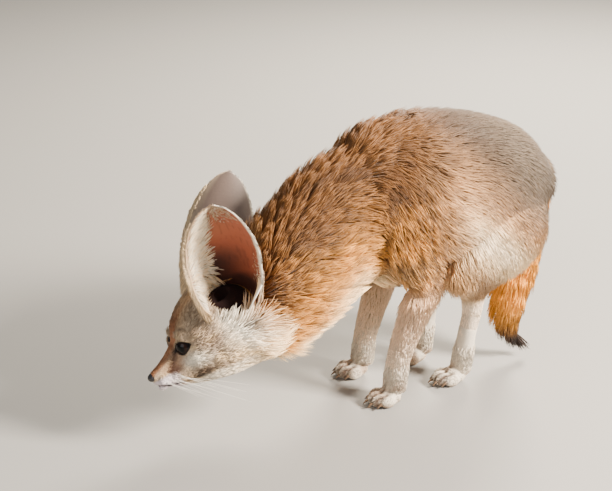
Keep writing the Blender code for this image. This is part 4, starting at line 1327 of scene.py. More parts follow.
@dataclass
class Tufts:
    """Builds tufts: thin closed three-sided spindles that follow a lie, as one mesh from whole arrays."""

    rng: Draws
    sink: float = 0.4
    low: Array = field(default_factory=lambda: np.array(CAD_BOX[0]) / MM)
    high: Array = field(default_factory=lambda: np.array(CAD_BOX[1]) / MM)

    def build(self, name: str, lie: Lie, steps: tuple[float, ...]) -> Object:
        """One coat piece.

        The middle line of a tuft starts sunk in the skin and is root + flow * c t + normal * 1.35 s
        (t - 0.45 t^2) + pull t^2 + waver sin(pi t). Here c and s are its length times the cosine and sine of
        its lift, pull draws its tip to its clump, and waver bends it aside.

        Args:
            name: the piece's name
            lie: what the coat is at each root
            steps: where along a tuft its rings stand, from 0 up

        Returns:
            the piece, painted and with its OFBake map
        """
        n, rings = len(lie.points), len(steps)
        aside = np.cross(lie.normals, lie.flow)
        c = (lie.length * np.cos(lie.lift))[:, None]
        s = (lie.length * np.sin(lie.lift))[:, None]
        waver = aside * (lie.length * self.rng.uniform(-0.10, 0.10, n))[:, None]

        def at(t: float) -> Array:
            """The middle of each tuft at a share of its length.

            Args:
                t: the share

            Returns:
                a point for each tuft
            """
            root = lie.points - lie.normals * self.sink
            line = root + lie.flow * c * t + lie.normals * s * (t - 0.45 * t * t) * 1.35
            return line + lie.clump * t * t + waver * math.sin(math.pi * t)

        points = np.empty((n, rings * 3 + 1, 3))
        spread = self.rng.uniform(0.75, 1.25, n) * lie.width / 2
        for k, t in enumerate(steps):
            w = (spread * float(np.interp(t, TAPER_AT, TAPER)))[:, None]
            middle = at(t)
            points[:, 3 * k] = middle + aside * w
            points[:, 3 * k + 1] = middle - aside * w
            points[:, 3 * k + 2] = middle + lie.normals * w * 0.8
        points[:, -1] = at(1.0)
        points = np.clip(points, self.low - SHIFT + MARGIN, self.high - SHIFT - MARGIN)
        pattern = self.pattern(rings)
        faces = (pattern[None] + (np.arange(n) * (rings * 3 + 1))[:, None, None]).reshape(-1, 3)
        obj = make_object(name, points.reshape(-1, 3), faces)
        along = np.array([t for t in steps for _ in range(3)] + [1.0])
        # Each tuft is darker towards its root: partly the grey underfur, partly painted shade deep in the
        # coat; short tufts get less of it
        shade = np.interp(along, [0, 0.4, 0.8, 1.0], [0.50, 0.90, 1.03, 1.0])[None, :]
        even = 0.65 * (1 - ramp(lie.length, 4.0, 10.0))[:, None]
        shade = shade + (0.96 - shade) * even
        colours = lie.colour[:, None] * shade[:, :, None]
        tip = ramp(along, 0.55, 0.95)[None, :, None] * lie.dark_tip[:, None, None]
        colours = colours * (1 - tip) + DARK_BROWN * tip * 0.9
        paint(obj, colours.reshape(-1, 3))
        self.unwrap(obj, lie.uv, along, faces)
        return obj

    def coat(self, name: str, lie: Lie, steps: tuple[float, ...], slot: str) -> None:
        """Build a coat piece, dress it and place it.

        Args:
            name: of the piece
            lie: the tufts
            steps: where its rings stand
            slot: not used
        """
        obj = self.build(name, lie, steps)
        COAT_FINISH.dress(obj)
        place_piece(obj)

    @staticmethod
    def pattern(rings: int) -> Array:
        """Triangles of one tuft: two for each side between rings, three at the tip and one at the root.

        Args:
            rings: how many rings

        Returns:
            the triangles
        """
        rows = [[0, 1, 2]]
        for k in range(rings - 1):
            a, b = 3 * k, 3 * k + 3
            for j in range(3):
                m = (j + 1) % 3
                rows += [[a + j, b + j, b + m], [a + j, b + m, a + m]]
        last, end = 3 * (rings - 1), 3 * rings
        rows += [[last + j, end, last + (j + 1) % 3] for j in range(3)]
        return np.array(rows)

    @staticmethod
    def unwrap(obj: Object, uv: Array, along: Array, faces: Array) -> None:
        """The OFBake map: each tuft is a small patch at its root's place, with its tip at the top.

        Args:
            obj: the object
            uv: each root's place on the map
            along: the share of the length at each point
            faces: the triangles
        """
        count = len(along)
        across = np.tile([0.0, 1.0, 0.5], count)[:count]
        local = np.stack([across, along], axis=1) * PATCH
        corner = uv[faces // count].reshape(-1, 2) + local[faces % count].reshape(-1, 2)
        layer = obj.data.uv_layers.new(name="OFBake")
        layer.data.foreach_set("uv", np.clip(corner, 0.0, 1.0).astype(np.float32).ravel())


def roots_on(obj: Object, density: Callable[[Array], Array], rng: Draws) -> tuple[Array, Array]:
    """Places for tufts on a mesh: each triangle gets density * area of them, whole ones and the rest by lot.

    Args:
        obj: the skin
        density: gives tufts to the square millimetre at points in the fox's frame
        rng: gives the draws

    Returns:
        the places and the normals there
    """
    mesh = obj.data
    mesh.calc_loop_triangles()
    tri = np.empty(len(mesh.loop_triangles) * 3, np.int32)
    mesh.loop_triangles.foreach_get("vertices", tri)
    tri = tri.reshape(-1, 3)
    points, normals = points_of(obj), normals_of(obj)
    a, b, c = points[tri[:, 0]], points[tri[:, 1]], points[tri[:, 2]]
    area = np.linalg.norm(np.cross(b - a, c - a), axis=1) / 2
    wanted = area * density((a + b + c) / 3)
    count = np.floor(wanted + rng.uniform(0, 1, len(area))).astype(int)
    pick = np.repeat(np.arange(len(tri)), count)
    r, s = rng.uniform(0, 1, len(pick)), rng.uniform(0, 1, len(pick))
    flip = r + s > 1
    r, s = np.where(flip, 1 - r, r)[:, None], np.where(flip, 1 - s, s)[:, None]
    place = a[pick] * (1 - r - s) + b[pick] * r + c[pick] * s
    normal = normals[tri[pick, 0]] * (1 - r - s) + normals[tri[pick, 1]] * r + normals[tri[pick, 2]] * s
    return place, unit(normal)


def laid(flow: Array, normals: Array) -> Array:
    """A direction laid into the surface with those normals, at length one."""
    return unit(flow - normals * (flow * normals).sum(axis=1)[:, None])


CELLS = {part: (n % GRID, n // GRID) for n, part in enumerate(PATHS)}


def cell_uv(cell: tuple[int, int], share: Array, turn: Array) -> Array:
    """A place in one of sixteen cells of the map, from the share along a path and the turn round it.

    Args:
        cell: its column and row
        share: along the path
        turn: round it in radians

    Returns:
        places on the map
    """
    u = (cell[0] + 0.03 + 0.92 * np.clip(share, 0, 1)) / GRID
    v = (cell[1] + 0.03 + 0.92 * ((turn / (2 * np.pi)) % 1.0)) / GRID
    return np.stack([u, v], axis=1)


@dataclass
class Body:
    """Trunk, neck, legs, paws and tail: their skin and the coat that lies on it."""

    voxel: float = 2.3
    rounds: int = 8
    paw_voxel: float = 1.1
    paw_rounds: int = 2

    def skin_parts(self) -> list[Object]:
        """The skin of the trunk, legs and tail, and of the paws, each fused from closed shells.

        Returns:
            two objects
        """
        shells = [path.shell() for path in PATHS.values()]
        shells += [Path(KNEE).shell(), Path(mirrored(KNEE)).shell()]
        body = fused("body_skin", shells, self.voxel, self.rounds)
        under_ears = to_head(points_of(body))
        for ear in EARS:
            under_ears = ear.hollowed(under_ears)
        put_points(body, from_head(under_ears))
        paws = []
        for foot in FEET:
            paws += self.paw_shells(foot)
        paw = fused("paw_skin", paws, self.paw_voxel, self.paw_rounds)
        points = points_of(paw)
        points[:, 2] = np.maximum(points[:, 2], SOLE)
        put_points(paw, points)
        return [body, paw]

    def paw_shells(self, foot: Foot) -> list[Shell]:
        """The shells of one paw: lower leg, sole and four toes.

        Args:
            foot: its size and place

        Returns:
            the shells
        """
        x, y = foot.at
        path = PATHS[foot.part]
        rows = path.rows[int(path.samples * 0.78) :]
        centres = rows[:, :3]
        reach = [rows[:, c] - rows[:, 6] for c in (3, 4, 5)]
        shells = [tube_mesh(centres, *frames(centres), *reach, around=24)]
        shells.append(ball_mesh((x - 2, y, 5.8), (foot.length * 0.40, foot.half * 0.80, 6.4)))
        for forward, across, size in TOES:
            toe = (x + forward * foot.length, y + across * foot.half, 4.9)
            shells.append(ball_mesh(toe, (6.8 * size, 3.4 * size, 4.9 * size)))
        return shells

    def density(self, points: Array) -> Array:
        """Tufts to the square millimetre: more on the legs, towards the rump and on the tail's thin core.

        Args:
            points: in mm, in the fox's frame

        Returns:
            a number for each place
        """
        _, weights = blended(points)
        legs = sum(weights[p] for p in LEGS)
        low = legs * (1 - ramp(points[:, 2], 60, 110))
        value = 0.62 + 0.10 * ramp(points[:, 0], 10, 80) + 0.48 * low
        value = value * (1 - weights[Part.TAIL]) + 1.15 * weights[Part.TAIL]
        head = to_head(points)
        buried = (((head - (58, 0, 3)) / (34, 31, 26)) ** 2).sum(axis=1) < 0.8
        for ear in EARS:
            buried |= ear.hollow_reach(head) < 3.0
        return np.where(buried, 0.0, value)

    def flow(self, points: Array, normals: Array, places: dict, weights: dict) -> Array:
        """The way the coat lies: along each path, drooping on the flanks and down and back on the thighs.

        Args:
            points: in mm, in the fox's frame
            normals: the normal at each
            places: where the points lie on each path
            weights: how much each path rules

        Returns:
            unit vectors along the skin
        """
        z = points[:, 2]
        flow = sum(places[p]["tangent"] * weights[p][:, None] for p in PATHS)
        thigh = sum(weights[p] for p in HIND_LEGS) * ramp(z, 74, 98)
        upper_arm = sum(weights[p] for p in FORELEGS) * ramp(z, 84, 114)
        high_thigh = ramp(z, 104, 142)[:, None]
        on_thigh = np.array([0.42, 0, -0.90]) * (1 - high_thigh) + np.array([0.92, 0, -0.40]) * high_thigh
        flow = mix(flow, on_thigh, thigh)
        flow = mix(flow, np.array([0.55, 0, -0.80]), upper_arm)
        trunk = weights[Part.TORSO] + weights[Part.NECK]
        flow = flow + np.array([0.05, 0, -0.48]) * (trunk * ramp(np.abs(normals[:, 1]), 0.2, 0.9))[:, None]
        flow = flow + np.array([0.0, 0, -0.8]) * (trunk * ramp(points[:, 0], 116, 146))[:, None]
        front = ramp(-normals[:, 0], 0.2, 0.8) * thigh
        flow = flow + np.array([0.0, -0.1, -0.8]) * front[:, None]
        sway = (cloud(points, 17.0, 3) - 0.5) * 0.9
        flow = laid(flow, normals)
        return unit(flow + np.cross(normals, flow) * (sway * (0.35 + 0.65 * weights[Part.NECK]))[:, None])

    def lie(self, points: Array, normals: Array, rng: Draws) -> Lie:
        """The coat of the body at its roots.

        Args:
            points: in mm, in the fox's frame
            normals: the normal at each
            rng: gives the draws

        Returns:
            the tufts
        """
        places, weights = blended(points)
        x, _, z = points.T
        flow = self.flow(points, normals, places, weights)
        legs = sum(weights[p] for p in LEGS)
        low = legs * (1 - ramp(z, 66, 116))
        tail = weights[Part.TAIL]
        rear = ramp(x, 15, 80) * (1 - tail)
        length = 19.0 * (1 - low) + np.interp(z, [0, 10, 24, 50, 90], [3.2, 3.8, 5.0, 7.5, 13.0]) * low
        length = length * rng.uniform(0.75, 1.12, len(points))
        length = length * (1 - 0.30 * rear) * (1 - 0.35 * bump(x, 148, 12) * (1 - tail))
        along_tail = places[Part.TAIL]["share"]
        reach = np.interp(along_tail, [0, 0.15, 0.5, 0.8, 1.0], [9, 15, 32, 24, 12])
        length = length * (1 - tail) + reach * tail
        lift = np.radians(32 - 12 * rear - 14 * low) * np.interp(z, [16, 36], [0.15, 1.0])
        tail_lift = np.interp(along_tail, [0, 0.2, 0.4, 0.7, 0.9, 1.0], [16, 20, 30, 28, 9, 4])
        lift = lift * (1 - tail) + np.radians(tail_lift) * tail
        shaggy = 1 - ramp(x, 0, 70)
        shaggy = np.clip(shaggy * (1 - low) * (1 - tail) + 0.35 * tail + 0.14, 0, 1)
        centre, draw = clumps(points + flow * 3.0, 7.0, 21)
        _, broad = clumps(points, 17.0, 61)
        pull = (centre - points) * (0.62 * shaggy)[:, None]
        pull -= normals * (pull * normals).sum(axis=1)[:, None] * 0.8
        pull = pull * np.minimum(1.0, length / 12.0)[:, None]
        lift = lift + np.radians(14) * (draw - 0.5) * shaggy
        colour = body_colour(points, places, weights)
        tint = 1 + (draw - 0.5) * (0.08 + 0.55 * shaggy) + (broad - 0.5) * 0.35 * shaggy
        tint = tint + rng.uniform(-0.15, 0.15, len(points))
        colour = colour * np.clip(tint, 0.4, 1.5)[:, None]
        high = np.maximum(places[Part.TORSO]["high"], places[Part.NECK]["high"])
        ticked = rng.uniform(0, 1, len(points)) < 0.14 + 0.34 * ramp(high, -0.2, 0.6)
        dark = np.where(ticked, rng.uniform(0.35, 0.85, len(points)), 0.0) * (1 - low) * (1 - 0.5 * tail)
        dark = dark * ramp(-colour.mean(axis=1), -0.80, -0.30)
        width = ((1.15 - 0.20 * rear) * (1 - low) + 0.75 * low) * (1 - tail) + 1.1 * tail
        owner = np.stack([weights[p] for p in PATHS]).argmax(axis=0)
        uv = np.zeros((len(points), 2))
        for n, part in enumerate(PATHS):
            mine = owner == n
            uv[mine] = cell_uv(CELLS[part], places[part]["share"][mine], places[part]["turn"][mine])
        return Lie(points, normals, flow, length, lift, width, pull, colour, dark, uv)

    @staticmethod
    def paw_density(points: Array) -> Array:
        """Tufts to the square millimetre on the paws: none under them, and fewer towards the legs."""
        return np.where(points[:, 2] > 1.2, 1.4, 0.0) * (1 - ramp(points[:, 2], 20, 34))

    def paw_lie(self, points: Array, normals: Array, rng: Draws) -> Lie:
        """The short coat of the paws, which lies forwards to the claws.

        Args:
            points: in mm, in the fox's frame
            normals: the normal at each
            rng: gives the draws

        Returns:
            the tufts
        """
        count = len(points)
        centres = np.array([foot.at for foot in FEET])
        owner = np.linalg.norm(points[:, None, :2] - centres[None], axis=2).argmin(axis=1)
        rel = points[:, :2] - centres[owner]
        down = ramp(points[:, 2], 10, 22)
        flow = np.stack([-1 + 0.7 * down, 0.03 * rel[:, 1], -0.35 - 0.65 * down], axis=1)
        flow = laid(flow, normals)
        length = np.interp(points[:, 2], [0, 8, 16, 28], [1.6, 2.6, 4.0, 6.0])
        lift = np.radians(np.interp(points[:, 2], [8, 26], [14.0, 20.0]))
        colour = paw_colour(points) * rng.uniform(0.82, 1.14, count)[:, None]
        centre, _ = clumps(points, 2.6, 71)
        pull = (centre - points) * 0.22
        share = np.clip((rel[:, 0] + 26) / 52, 0, 0.999)
        uv = cell_uv((3, 1), (owner + share) / 4, np.arctan2(points[:, 2] - 6, rel[:, 1]))
        width, dark = np.full(count, 0.62), np.zeros(count)
        return Lie(points, normals, flow, length, lift, width, pull, colour, dark, uv)


@dataclass
class Head:
    """The head: its skin with lids, lips and the bottoms of the ear cups, and its short coat."""

    voxel: float = 0.66
    rounds: int = 2
    nose_voxel: float = 0.22
    nose_rounds: int = 3
    # Centre on the right side and half lengths of the forms that are added to the skull, and of the nose's
    brow: tuple = ((33.5, 10.9, 16.0), (6.0, 5.6, 3.6))
    whisker_pad: tuple = ((10.4, 4.4, -4.6), (7.0, 4.2, 5.0))
    chin: tuple = ((8.6, 0, -9.0), (6.6, 4.2, 2.6))
    nose_pad: tuple = ((2.3, 0, 0.3), (3.3, 3.4, 2.9))
    nose_wing: tuple = ((2.4, 2.2, -0.1), (2.6, 1.8, 2.1))

    def skin_part(self) -> Object:
        """The head's skin: skull, brows, whisker pads, chin and lids fused, then opened for the eyes.

        Returns:
            the skin
        """
        shells = [skull_shell()]
        for side in (-1, 1):
            for (x, y, z), radii in (self.brow, self.whisker_pad):
                shells.append(ball_mesh((x, side * y, z), radii))
            shells.append(self.lid(side))
        shells.append(ball_mesh(*self.chin))
        shells = [(from_head(p), f) for p, f in shells]
        skin = fused("head_skin", shells, self.voxel, self.rounds)
        head = to_head(points_of(skin))
        normals = normals_of(skin) @ HEAD_TURN
        head = self.opened(head)
        x = head[:, 0]
        groove = bump(head[:, 2], mouth_height(x), 0.65) * (x < 33) * ramp(x, -3, 1)
        head = head - normals * (0.95 * groove)[:, None]
        for ear in EARS:
            head = ear.hollowed(head)
        put_points(skin, from_head(head))
        return skin

    @staticmethod
    def lid(side: int) -> Shell:
        """The lids: a thin ring round the opening, laid on a ball a little larger than the eyeball.

        Args:
            side: -1 for the left, 1 for the right

        Returns:
            its points and triangles
        """
        centre, out, forward, up = eye_frame(side)
        turns, sides = 36, 8
        a = 2 * np.pi * np.arange(turns) / turns
        b = 2 * np.pi * np.arange(sides) / sides
        aside, rise = 6.5 * np.cos(a), 4.5 * np.sin(a) * (1 - 0.25 * np.cos(a) ** 2)
        proud = np.sqrt(np.maximum((EYE_RADIUS + 0.1) ** 2 - aside**2 - rise**2, 6.0))
        line = centre + forward * aside[:, None] + up * rise[:, None] + out * proud[:, None]
        radial = unit(line - centre - out * ((line - centre) @ out)[:, None])
        b = b[None, :, None]
        ring = line[:, None] + 0.95 * (np.cos(b) * radial[:, None] + np.sin(b) * out)
        i = np.arange(turns)[:, None] * sides
        m = ((np.arange(turns)[:, None] + 1) % turns) * sides
        j = np.arange(sides)[None, :]
        k = (j + 1) % sides
        return ring.reshape(-1, 3), halved(i + j, i + k, m + k, m + j)

    @staticmethod
    def opened(head: Array) -> Array:
        """Points of the skin, with those within an eye's opening sunk under the eyeball's surface.

        Args:
            head: in mm, in the head's frame

        Returns:
            the moved points
        """
        for side in (-1, 1):
            centre, _, _, _ = eye_frame(side)
            rel = head - centre
            away = np.linalg.norm(rel, axis=1)
            value = eye_opening(head, side)
            sunk = np.minimum(away, EYE_RADIUS - 1.2)
            share = (1 - ramp(value, 0.86, 1.06)) * (away < 13)
            head = centre + rel / away[:, None] * (away + (sunk - away) * share)[:, None]
        return head

    def density(self, points: Array) -> Array:
        """Tufts to the square millimetre: densest on the muzzle, none in the eyes, mouth and ear cups.

        Args:
            points: in mm, in the fox's frame

        Returns:
            a number for each place
        """
        head = to_head(points)
        value = np.interp(head[:, 0], [0, 20, 40, 60, 90], [3.4, 3.0, 1.8, 1.0, 0.7])
        keep = head[:, 0] > 1.8
        for side in (-1, 1):
            keep &= eye_opening(head, side) > 1.22
        for ear in EARS:
            keep &= ear.hollow_reach(head) > 2.3
        keep &= ~((np.abs(head[:, 2] - mouth_height(head[:, 0])) < 0.45) & (head[:, 0] < 32))
        keep &= head[:, 0] < 93
        return np.where(keep, value, 0.0)

    def lie(self, points: Array, normals: Array, rng: Draws) -> Lie:
        """The coat of the head at its roots.

        Args:
            points: in mm, in the fox's frame
            normals: the normal at each
            rng: gives the draws

        Returns:
            the tufts
        """
        head = to_head(points)
        x, y, z = head.T
        side = np.sign(y)
        wide = ramp(np.abs(y), 8, 26)
        rear = ramp(x, 34, 70)
        outer = wide * rear
        flow = np.stack([np.ones(len(x)), side * (0.10 + 0.35 * wide * rear), 0.10 - 0.55 * outer], axis=1)
        up = ramp(z, 14, 24) * (1 - ramp(x, 55, 75))
        flow += np.stack([0 * x, side * 0.25 * up, 0.25 * up], axis=1)
        for s in (-1, 1):
            centre, _, _, _ = eye_frame(s)
            near = (1 - ramp(eye_opening(head, s), 1.2, 2.4))[:, None]
            flow = flow + unit(head - centre) * near * 0.7
        by_ear = np.zeros(len(x))
        for ear in EARS:
            _, axis, _, _ = ear.base()
            near = (1 - ramp(ear.hollow_reach(head), 2.6, 5.0)) * ramp(-x, -84, -70)
            by_ear = np.maximum(by_ear, near)
            inward = unit(EAR_ROOT * (1, ear.side, 1) + axis * 20.0 - head)
            flow = mix(flow, inward, 0.8 * near)
        local = normals @ HEAD_TURN
        sway = (cloud(head, 9.0, 13) - 0.5) * 0.7
        flow = laid(flow, local)
        flow = unit(flow + np.cross(local, flow) * sway[:, None])
        length = np.interp(x, [0, 8, 20, 30, 42, 60, 90], [1.5, 2.2, 3.2, 4.6, 7.0, 11.0, 14.0])
        ruff = ramp(x, 48, 68) * ramp(np.abs(y), 14, 26) * (1 - ramp(z, 8, 18))
        length = length * (1 + 0.85 * ruff) * rng.uniform(0.7, 1.25, len(x))
        for s in (-1, 1):
            length = length * (1 - 0.45 * (1 - ramp(eye_opening(head, s), 1.2, 2.2)))
        length = length * (1 - 0.22 * by_ear)
        lift = np.radians(15 + 9 * rear + 12 * ruff)
        width = np.interp(x, [0, 25, 45, 80], [0.42, 0.55, 0.85, 1.15])
        centre, draw = clumps(points, 4.2, 41)
        shaggy = 0.15 + 0.60 * rear
        pull = (centre - points) * (0.6 * shaggy)[:, None]
        pull -= normals * (pull * normals).sum(axis=1)[:, None] * 0.8
        colour = head_colour(head)
        tint = 1 + (draw - 0.5) * (0.16 + 0.14 * rear) + rng.uniform(-0.17, 0.17, len(points))
        colour = colour * np.clip(tint, 0.5, 1.5)[:, None]
        speck = rng.uniform(0, 1, len(points)) < 0.24 * (1 - ruff) * ramp(z, -16, 2)
        dark = np.where(speck, rng.uniform(0.3, 0.75, len(points)), 0.0)
        for root in self.whisker_roots():
            dark = np.maximum(dark, 0.95 * (np.linalg.norm(head - root, axis=1) < 0.75))
        uv = cell_uv((3, 2), x / 95.0, np.arctan2(z - 3, y))
        return Lie(points, normals, flow @ HEAD_TURN.T, length, lift, width, pull, colour, dark, uv)

    @staticmethod
    def whisker_roots() -> Array:
        """Where the whiskers grow: rows on both whisker pads, in the head's frame.

        Returns:
            a row for each whisker
        """
        rows = []
        for side in (-1, 1):
            for k, z in enumerate((-2.2, -4.4, -6.6)):
                for m in range(4):
                    x = 6.0 + 3.2 * m + 0.8 * k
                    wide = np.interp(x, [4, 9, 15, 21], [5.9, 8.0, 9.9, 12.0]) - 0.6
                    rows.append((x, side * wide, z - 0.18 * (x - 6)))
        return np.array(rows)

    def whiskers(self, rng: Draws) -> Object:
        """Whiskers: thin tapered cones along root + length * (way * t + (0.25, 0, -0.35) * t^2).

        Args:
            rng: gives the draws

        Returns:
            the whiskers in one piece
        """
        parts = []
        turns = np.linspace(0, 2 * np.pi, 4)[:-1]
        for root in self.whisker_roots():
            side = np.sign(root[1])
            length = rng.uniform(20, 42) * float(np.interp(root[0], [6, 16], [0.65, 1.0]))
            way = unit(np.array([rng.uniform(0.3, 0.9), 0.6 * side, rng.uniform(-0.9, -0.3)]))
            t = np.linspace(0, 1, 9)[:, None]
            line = root - way * 0.8 + way * length * t + np.array([0.25, 0, -0.35]) * length * t * t
            a = unit(np.cross(way, (0, 0, 1.0)))
            b = np.cross(way, a)
            radius = 0.20 * (1 - 0.85 * t[:, 0])
            ring = np.cos(turns)[:, None] * a + np.sin(turns)[:, None] * b
            points = (line[:, None] + ring[None] * radius[:, None, None]).reshape(-1, 3)
            points = np.vstack([points, line[0], line[-1]])
            parts.append((from_head(points), ring_faces(9, 3)))
        made = outward(make_object("whiskers", *merged(parts)))
        WHISKER_FINISH.dress(made)
        return made

    def eyes(self) -> list[Object]:
        """The eyeballs: a ball with a cornea that bulges by 0.45 mm, painted with iris and pupil.

        Returns:
            the left one and the right one
        """
        made = []
        for side, name in ((-1, "left_eyeball"), (1, "right_eyeball")):
            centre, out, forward, up = eye_frame(side)
            turn = np.stack([out, forward, up], axis=1)
            points, faces = ball_mesh((0, 0, 0), (1, 1, 1), 60, 64)
            angle = np.degrees(np.arccos(np.clip(points[:, 0], -1, 1)))
            radius = EYE_RADIUS + 0.45 * np.sqrt(np.clip(1 - (angle / 42.0) ** 2, 0, 1))
            obj = make_object(name, from_head(centre + (points * radius[:, None]) @ turn.T), faces)
            outward(obj)
            ring = mix(PUPIL, IRIS, ramp(angle, 20, 26))
            paint(obj, mix(ring, EYE_RIM, ramp(angle, 36, 41)))
            EYE_FINISH.dress(obj)
            made.append(obj)
        return made

    def nose(self) -> Object:
        """The nose pad: rounded pad and wings fused, with comma-shaped nostrils sunk into it.

        Returns:
            the pad
        """
        (x, y, z), radii = self.nose_wing
        shells = [ball_mesh(*self.nose_pad, 20, 28)]
        shells += [ball_mesh((x, side * y, z), radii, 20, 28) for side in (-1, 1)]
        shells = [(from_head(p), f) for p, f in shells]
        pad = fused("nose_pad", shells, self.nose_voxel, self.nose_rounds)
        head = to_head(points_of(pad))
        for side in (-1, 1):
            rel = head - np.array([-0.6, side * 1.9, -0.2])
            inside = np.exp(-((rel[:, 1] / 0.95) ** 2 + (rel[:, 2] / 0.62) ** 2)) * (head[:, 0] < 2.2)
            head[:, 0] += 1.3 * inside
        crease = bump(head[:, 1], 0, 0.22) * (head[:, 0] < 1.2) * (head[:, 2] < 1.0)
        head[:, 0] += 0.35 * crease
        put_points(pad, from_head(head))
        NOSE_FINISH.dress(pad)
        return pad


@dataclass(frozen=True)
class Hair:
    """A kind of hair on an ear: its lift in degrees, its width and the share of hairs with a dark tip."""

    lift: float
    width: float
    dark: float

    def lie(
        self, place: Array, normals: Array, flow: Array, length: Array, colour: Array, uv: Array, rng: Draws,
    ) -> Lie:
        """A Lie in the fox's frame from values in the head's.

        Args:
            place: each root
            normals: the normal at each
            flow: the way it lies
            length: in mm
            colour: of each hair
            uv: its place on the map
            rng: gives the draws

        Returns:
            the tufts
        """
        count = len(place)
        specks = np.where(rng.uniform(0, 1, count) < self.dark, 0.7, 0.0)
        lift, width = np.full(count, math.radians(self.lift)), np.full(count, self.width)
        place, normals, flow = from_head(place), normals @ HEAD_TURN.T, flow @ HEAD_TURN.T
        return Lie(place, normals, flow, length, lift, width, np.zeros((count, 3)), colour, specks, uv)


@dataclass
class EarPiece:
    """One ear: its thin cup with a bare lining, its short coat behind and the long hairs of its margins."""

    ear: Ear
    rows: int = 70
    columns: int = 48
    back_hairs: int = 6500
    base_hairs: int = 4200
    fringe_hairs: int = 15000

    def cup(self) -> Object:
        """The cup: the grid given a thickness and closed round its edge.

        Outer and inner points are the grid's, half the thickness along the normal either way.

        Returns:
            the cup
        """
        even = np.linspace(0.0, 1.0, self.rows)
        u = (0.5 * even + 0.5 * np.sin(0.5 * np.pi * even))[:, None] * np.ones(self.columns)
        v = np.ones(self.rows)[:, None] * np.linspace(-1.0, 1.0, self.columns)
        grid = self.ear.grid(u, v)
        _, _, faces, _ = self.ear.base()
        normal = unit(np.cross(np.gradient(grid, axis=0), np.gradient(grid, axis=1)))
        normal *= np.sign((normal[20:40] @ faces).mean())
        thick = np.linspace(2.0, 1.0, self.rows)[:, None, None]
        thick = thick * (1 - 0.55 * np.abs(v[..., None]) ** 8)
        inner, outer = grid + normal * thick / 2, grid - normal * thick / 2
        points = np.vstack([outer.reshape(-1, 3), inner.reshape(-1, 3)])
        obj = make_object(self.ear.name + "_cup", from_head(points), self.faces(self.rows, self.columns))
        outward(obj)
        flat_u, flat_v = u.ravel(), v.ravel()
        paint(obj, np.vstack([self.back_colour(flat_u, flat_v), self.lining_colour(flat_u, flat_v)]))
        EAR_FINISH.dress(obj)
        return obj

    @staticmethod
    def faces(rows: int, cols: int) -> Array:
        """Triangles of both sides of a sheet and of the band round its edge.

        Args:
            rows: of the sheet
            cols: of the sheet

        Returns:
            the triangles
        """
        count = rows * cols
        i = np.arange(rows - 1)[:, None] * cols
        j = np.arange(cols - 1)[None, :]
        a, b, c, d = i + j, i + j + 1, i + cols + j + 1, i + cols + j
        sheet = halved(a, b, c, d)
        edge = np.concatenate([
            np.arange(cols),
            np.arange(1, rows) * cols + cols - 1,
            (rows - 1) * cols + np.arange(cols - 2, -1, -1),
            np.arange(rows - 2, 0, -1) * cols,
        ])
        after = np.roll(edge, -1)
        band = np.vstack([
            np.stack([edge, edge + count, after + count], axis=1),
            np.stack([edge, after + count, after], axis=1),
        ])
        return np.vstack([sheet, sheet[:, ::-1] + count, band])

    def pouch(self) -> Object:
        """The small fold of skin at the foot of the rear margin, red inside and pale at its rim.

        It leaves the cup's outer face, bulges by up to 4 b and ends 4.5 b beyond the margin. Here b is
        sin(pi s)^0.7 and s runs along the margin.

        Returns:
            the fold
        """
        rows, cols = 26, 12
        s = np.linspace(0, 1, rows)[:, None] * np.ones(cols)
        t = np.ones(rows)[:, None] * np.linspace(0, 1, cols)
        rear = -self.ear.front()
        grid, _, margin, inward = self.ear.frame_at(0.03 + 0.22 * s, rear * (0.72 + 0.28 * t))
        belly = np.sin(np.pi * s) ** 0.7
        grid = grid - inward * (4.0 * belly * np.sin(0.62 * np.pi * t))[..., None]
        grid = grid + margin * (rear * 4.5 * belly * t**2)[..., None]
        thick = (1.3 - 0.5 * t)[..., None]
        outer, inner = grid - inward * thick / 2, grid + inward * thick / 2
        points = np.vstack([outer.reshape(-1, 3), inner.reshape(-1, 3)])
        obj = outward(make_object(self.ear.name + "_pouch", from_head(points), self.faces(rows, cols)))
        rim = ramp(t.ravel(), 0.70, 0.88)
        inside = mix(POUCH_RED, WHITE, rim)
        outside = mix(CREAM, WHITE, rim)
        paint(obj, np.vstack([outside, inside]))
        EAR_FINISH.dress(obj)
        return obj

    def base_coat(self, rng: Draws, cell: tuple[int, int]) -> Lie:
        """The pale hairs outside the front margin, which run down on to the head.

        Args:
            rng: gives the draws
            cell: the cell of the map

        Returns:
            the tufts
        """
        u = rng.uniform(0.02, 0.85, self.base_hairs)
        f = 1 - 0.7 * rng.uniform(0, 1, self.base_hairs) ** 1.5
        keep = rng.uniform(0, 1, self.base_hairs) < 1 - ramp(u, 0.22, 0.50) * (1 - ramp(f, 0.80, 0.97))
        u, f = u[keep], f[keep]
        v = f * self.ear.front()
        place, tip, margin, inward = self.ear.frame_at(u, v)
        way = np.interp(u, [0.0, 0.3, 0.5], [-1.0, -0.8, 0.7])[:, None]
        flow = laid(tip * way + margin * (0.45 * self.ear.front()), -inward)
        length = np.interp(u, [0, 0.2, 0.5, 0.85], [13.0, 10.0, 5.0, 3.6]) * rng.uniform(0.7, 1.15, len(u))
        colour = mix(CREAM, FACE_GREY, rng.uniform(0, 0.9, len(u)))
        hair = Hair(lift=20.0, width=0.75, dark=0.12)
        uv = cell_uv(cell, u, (v + 1) * 3.0)
        return hair.lie(place - inward * 0.4, -inward, flow, length, colour, uv, rng)

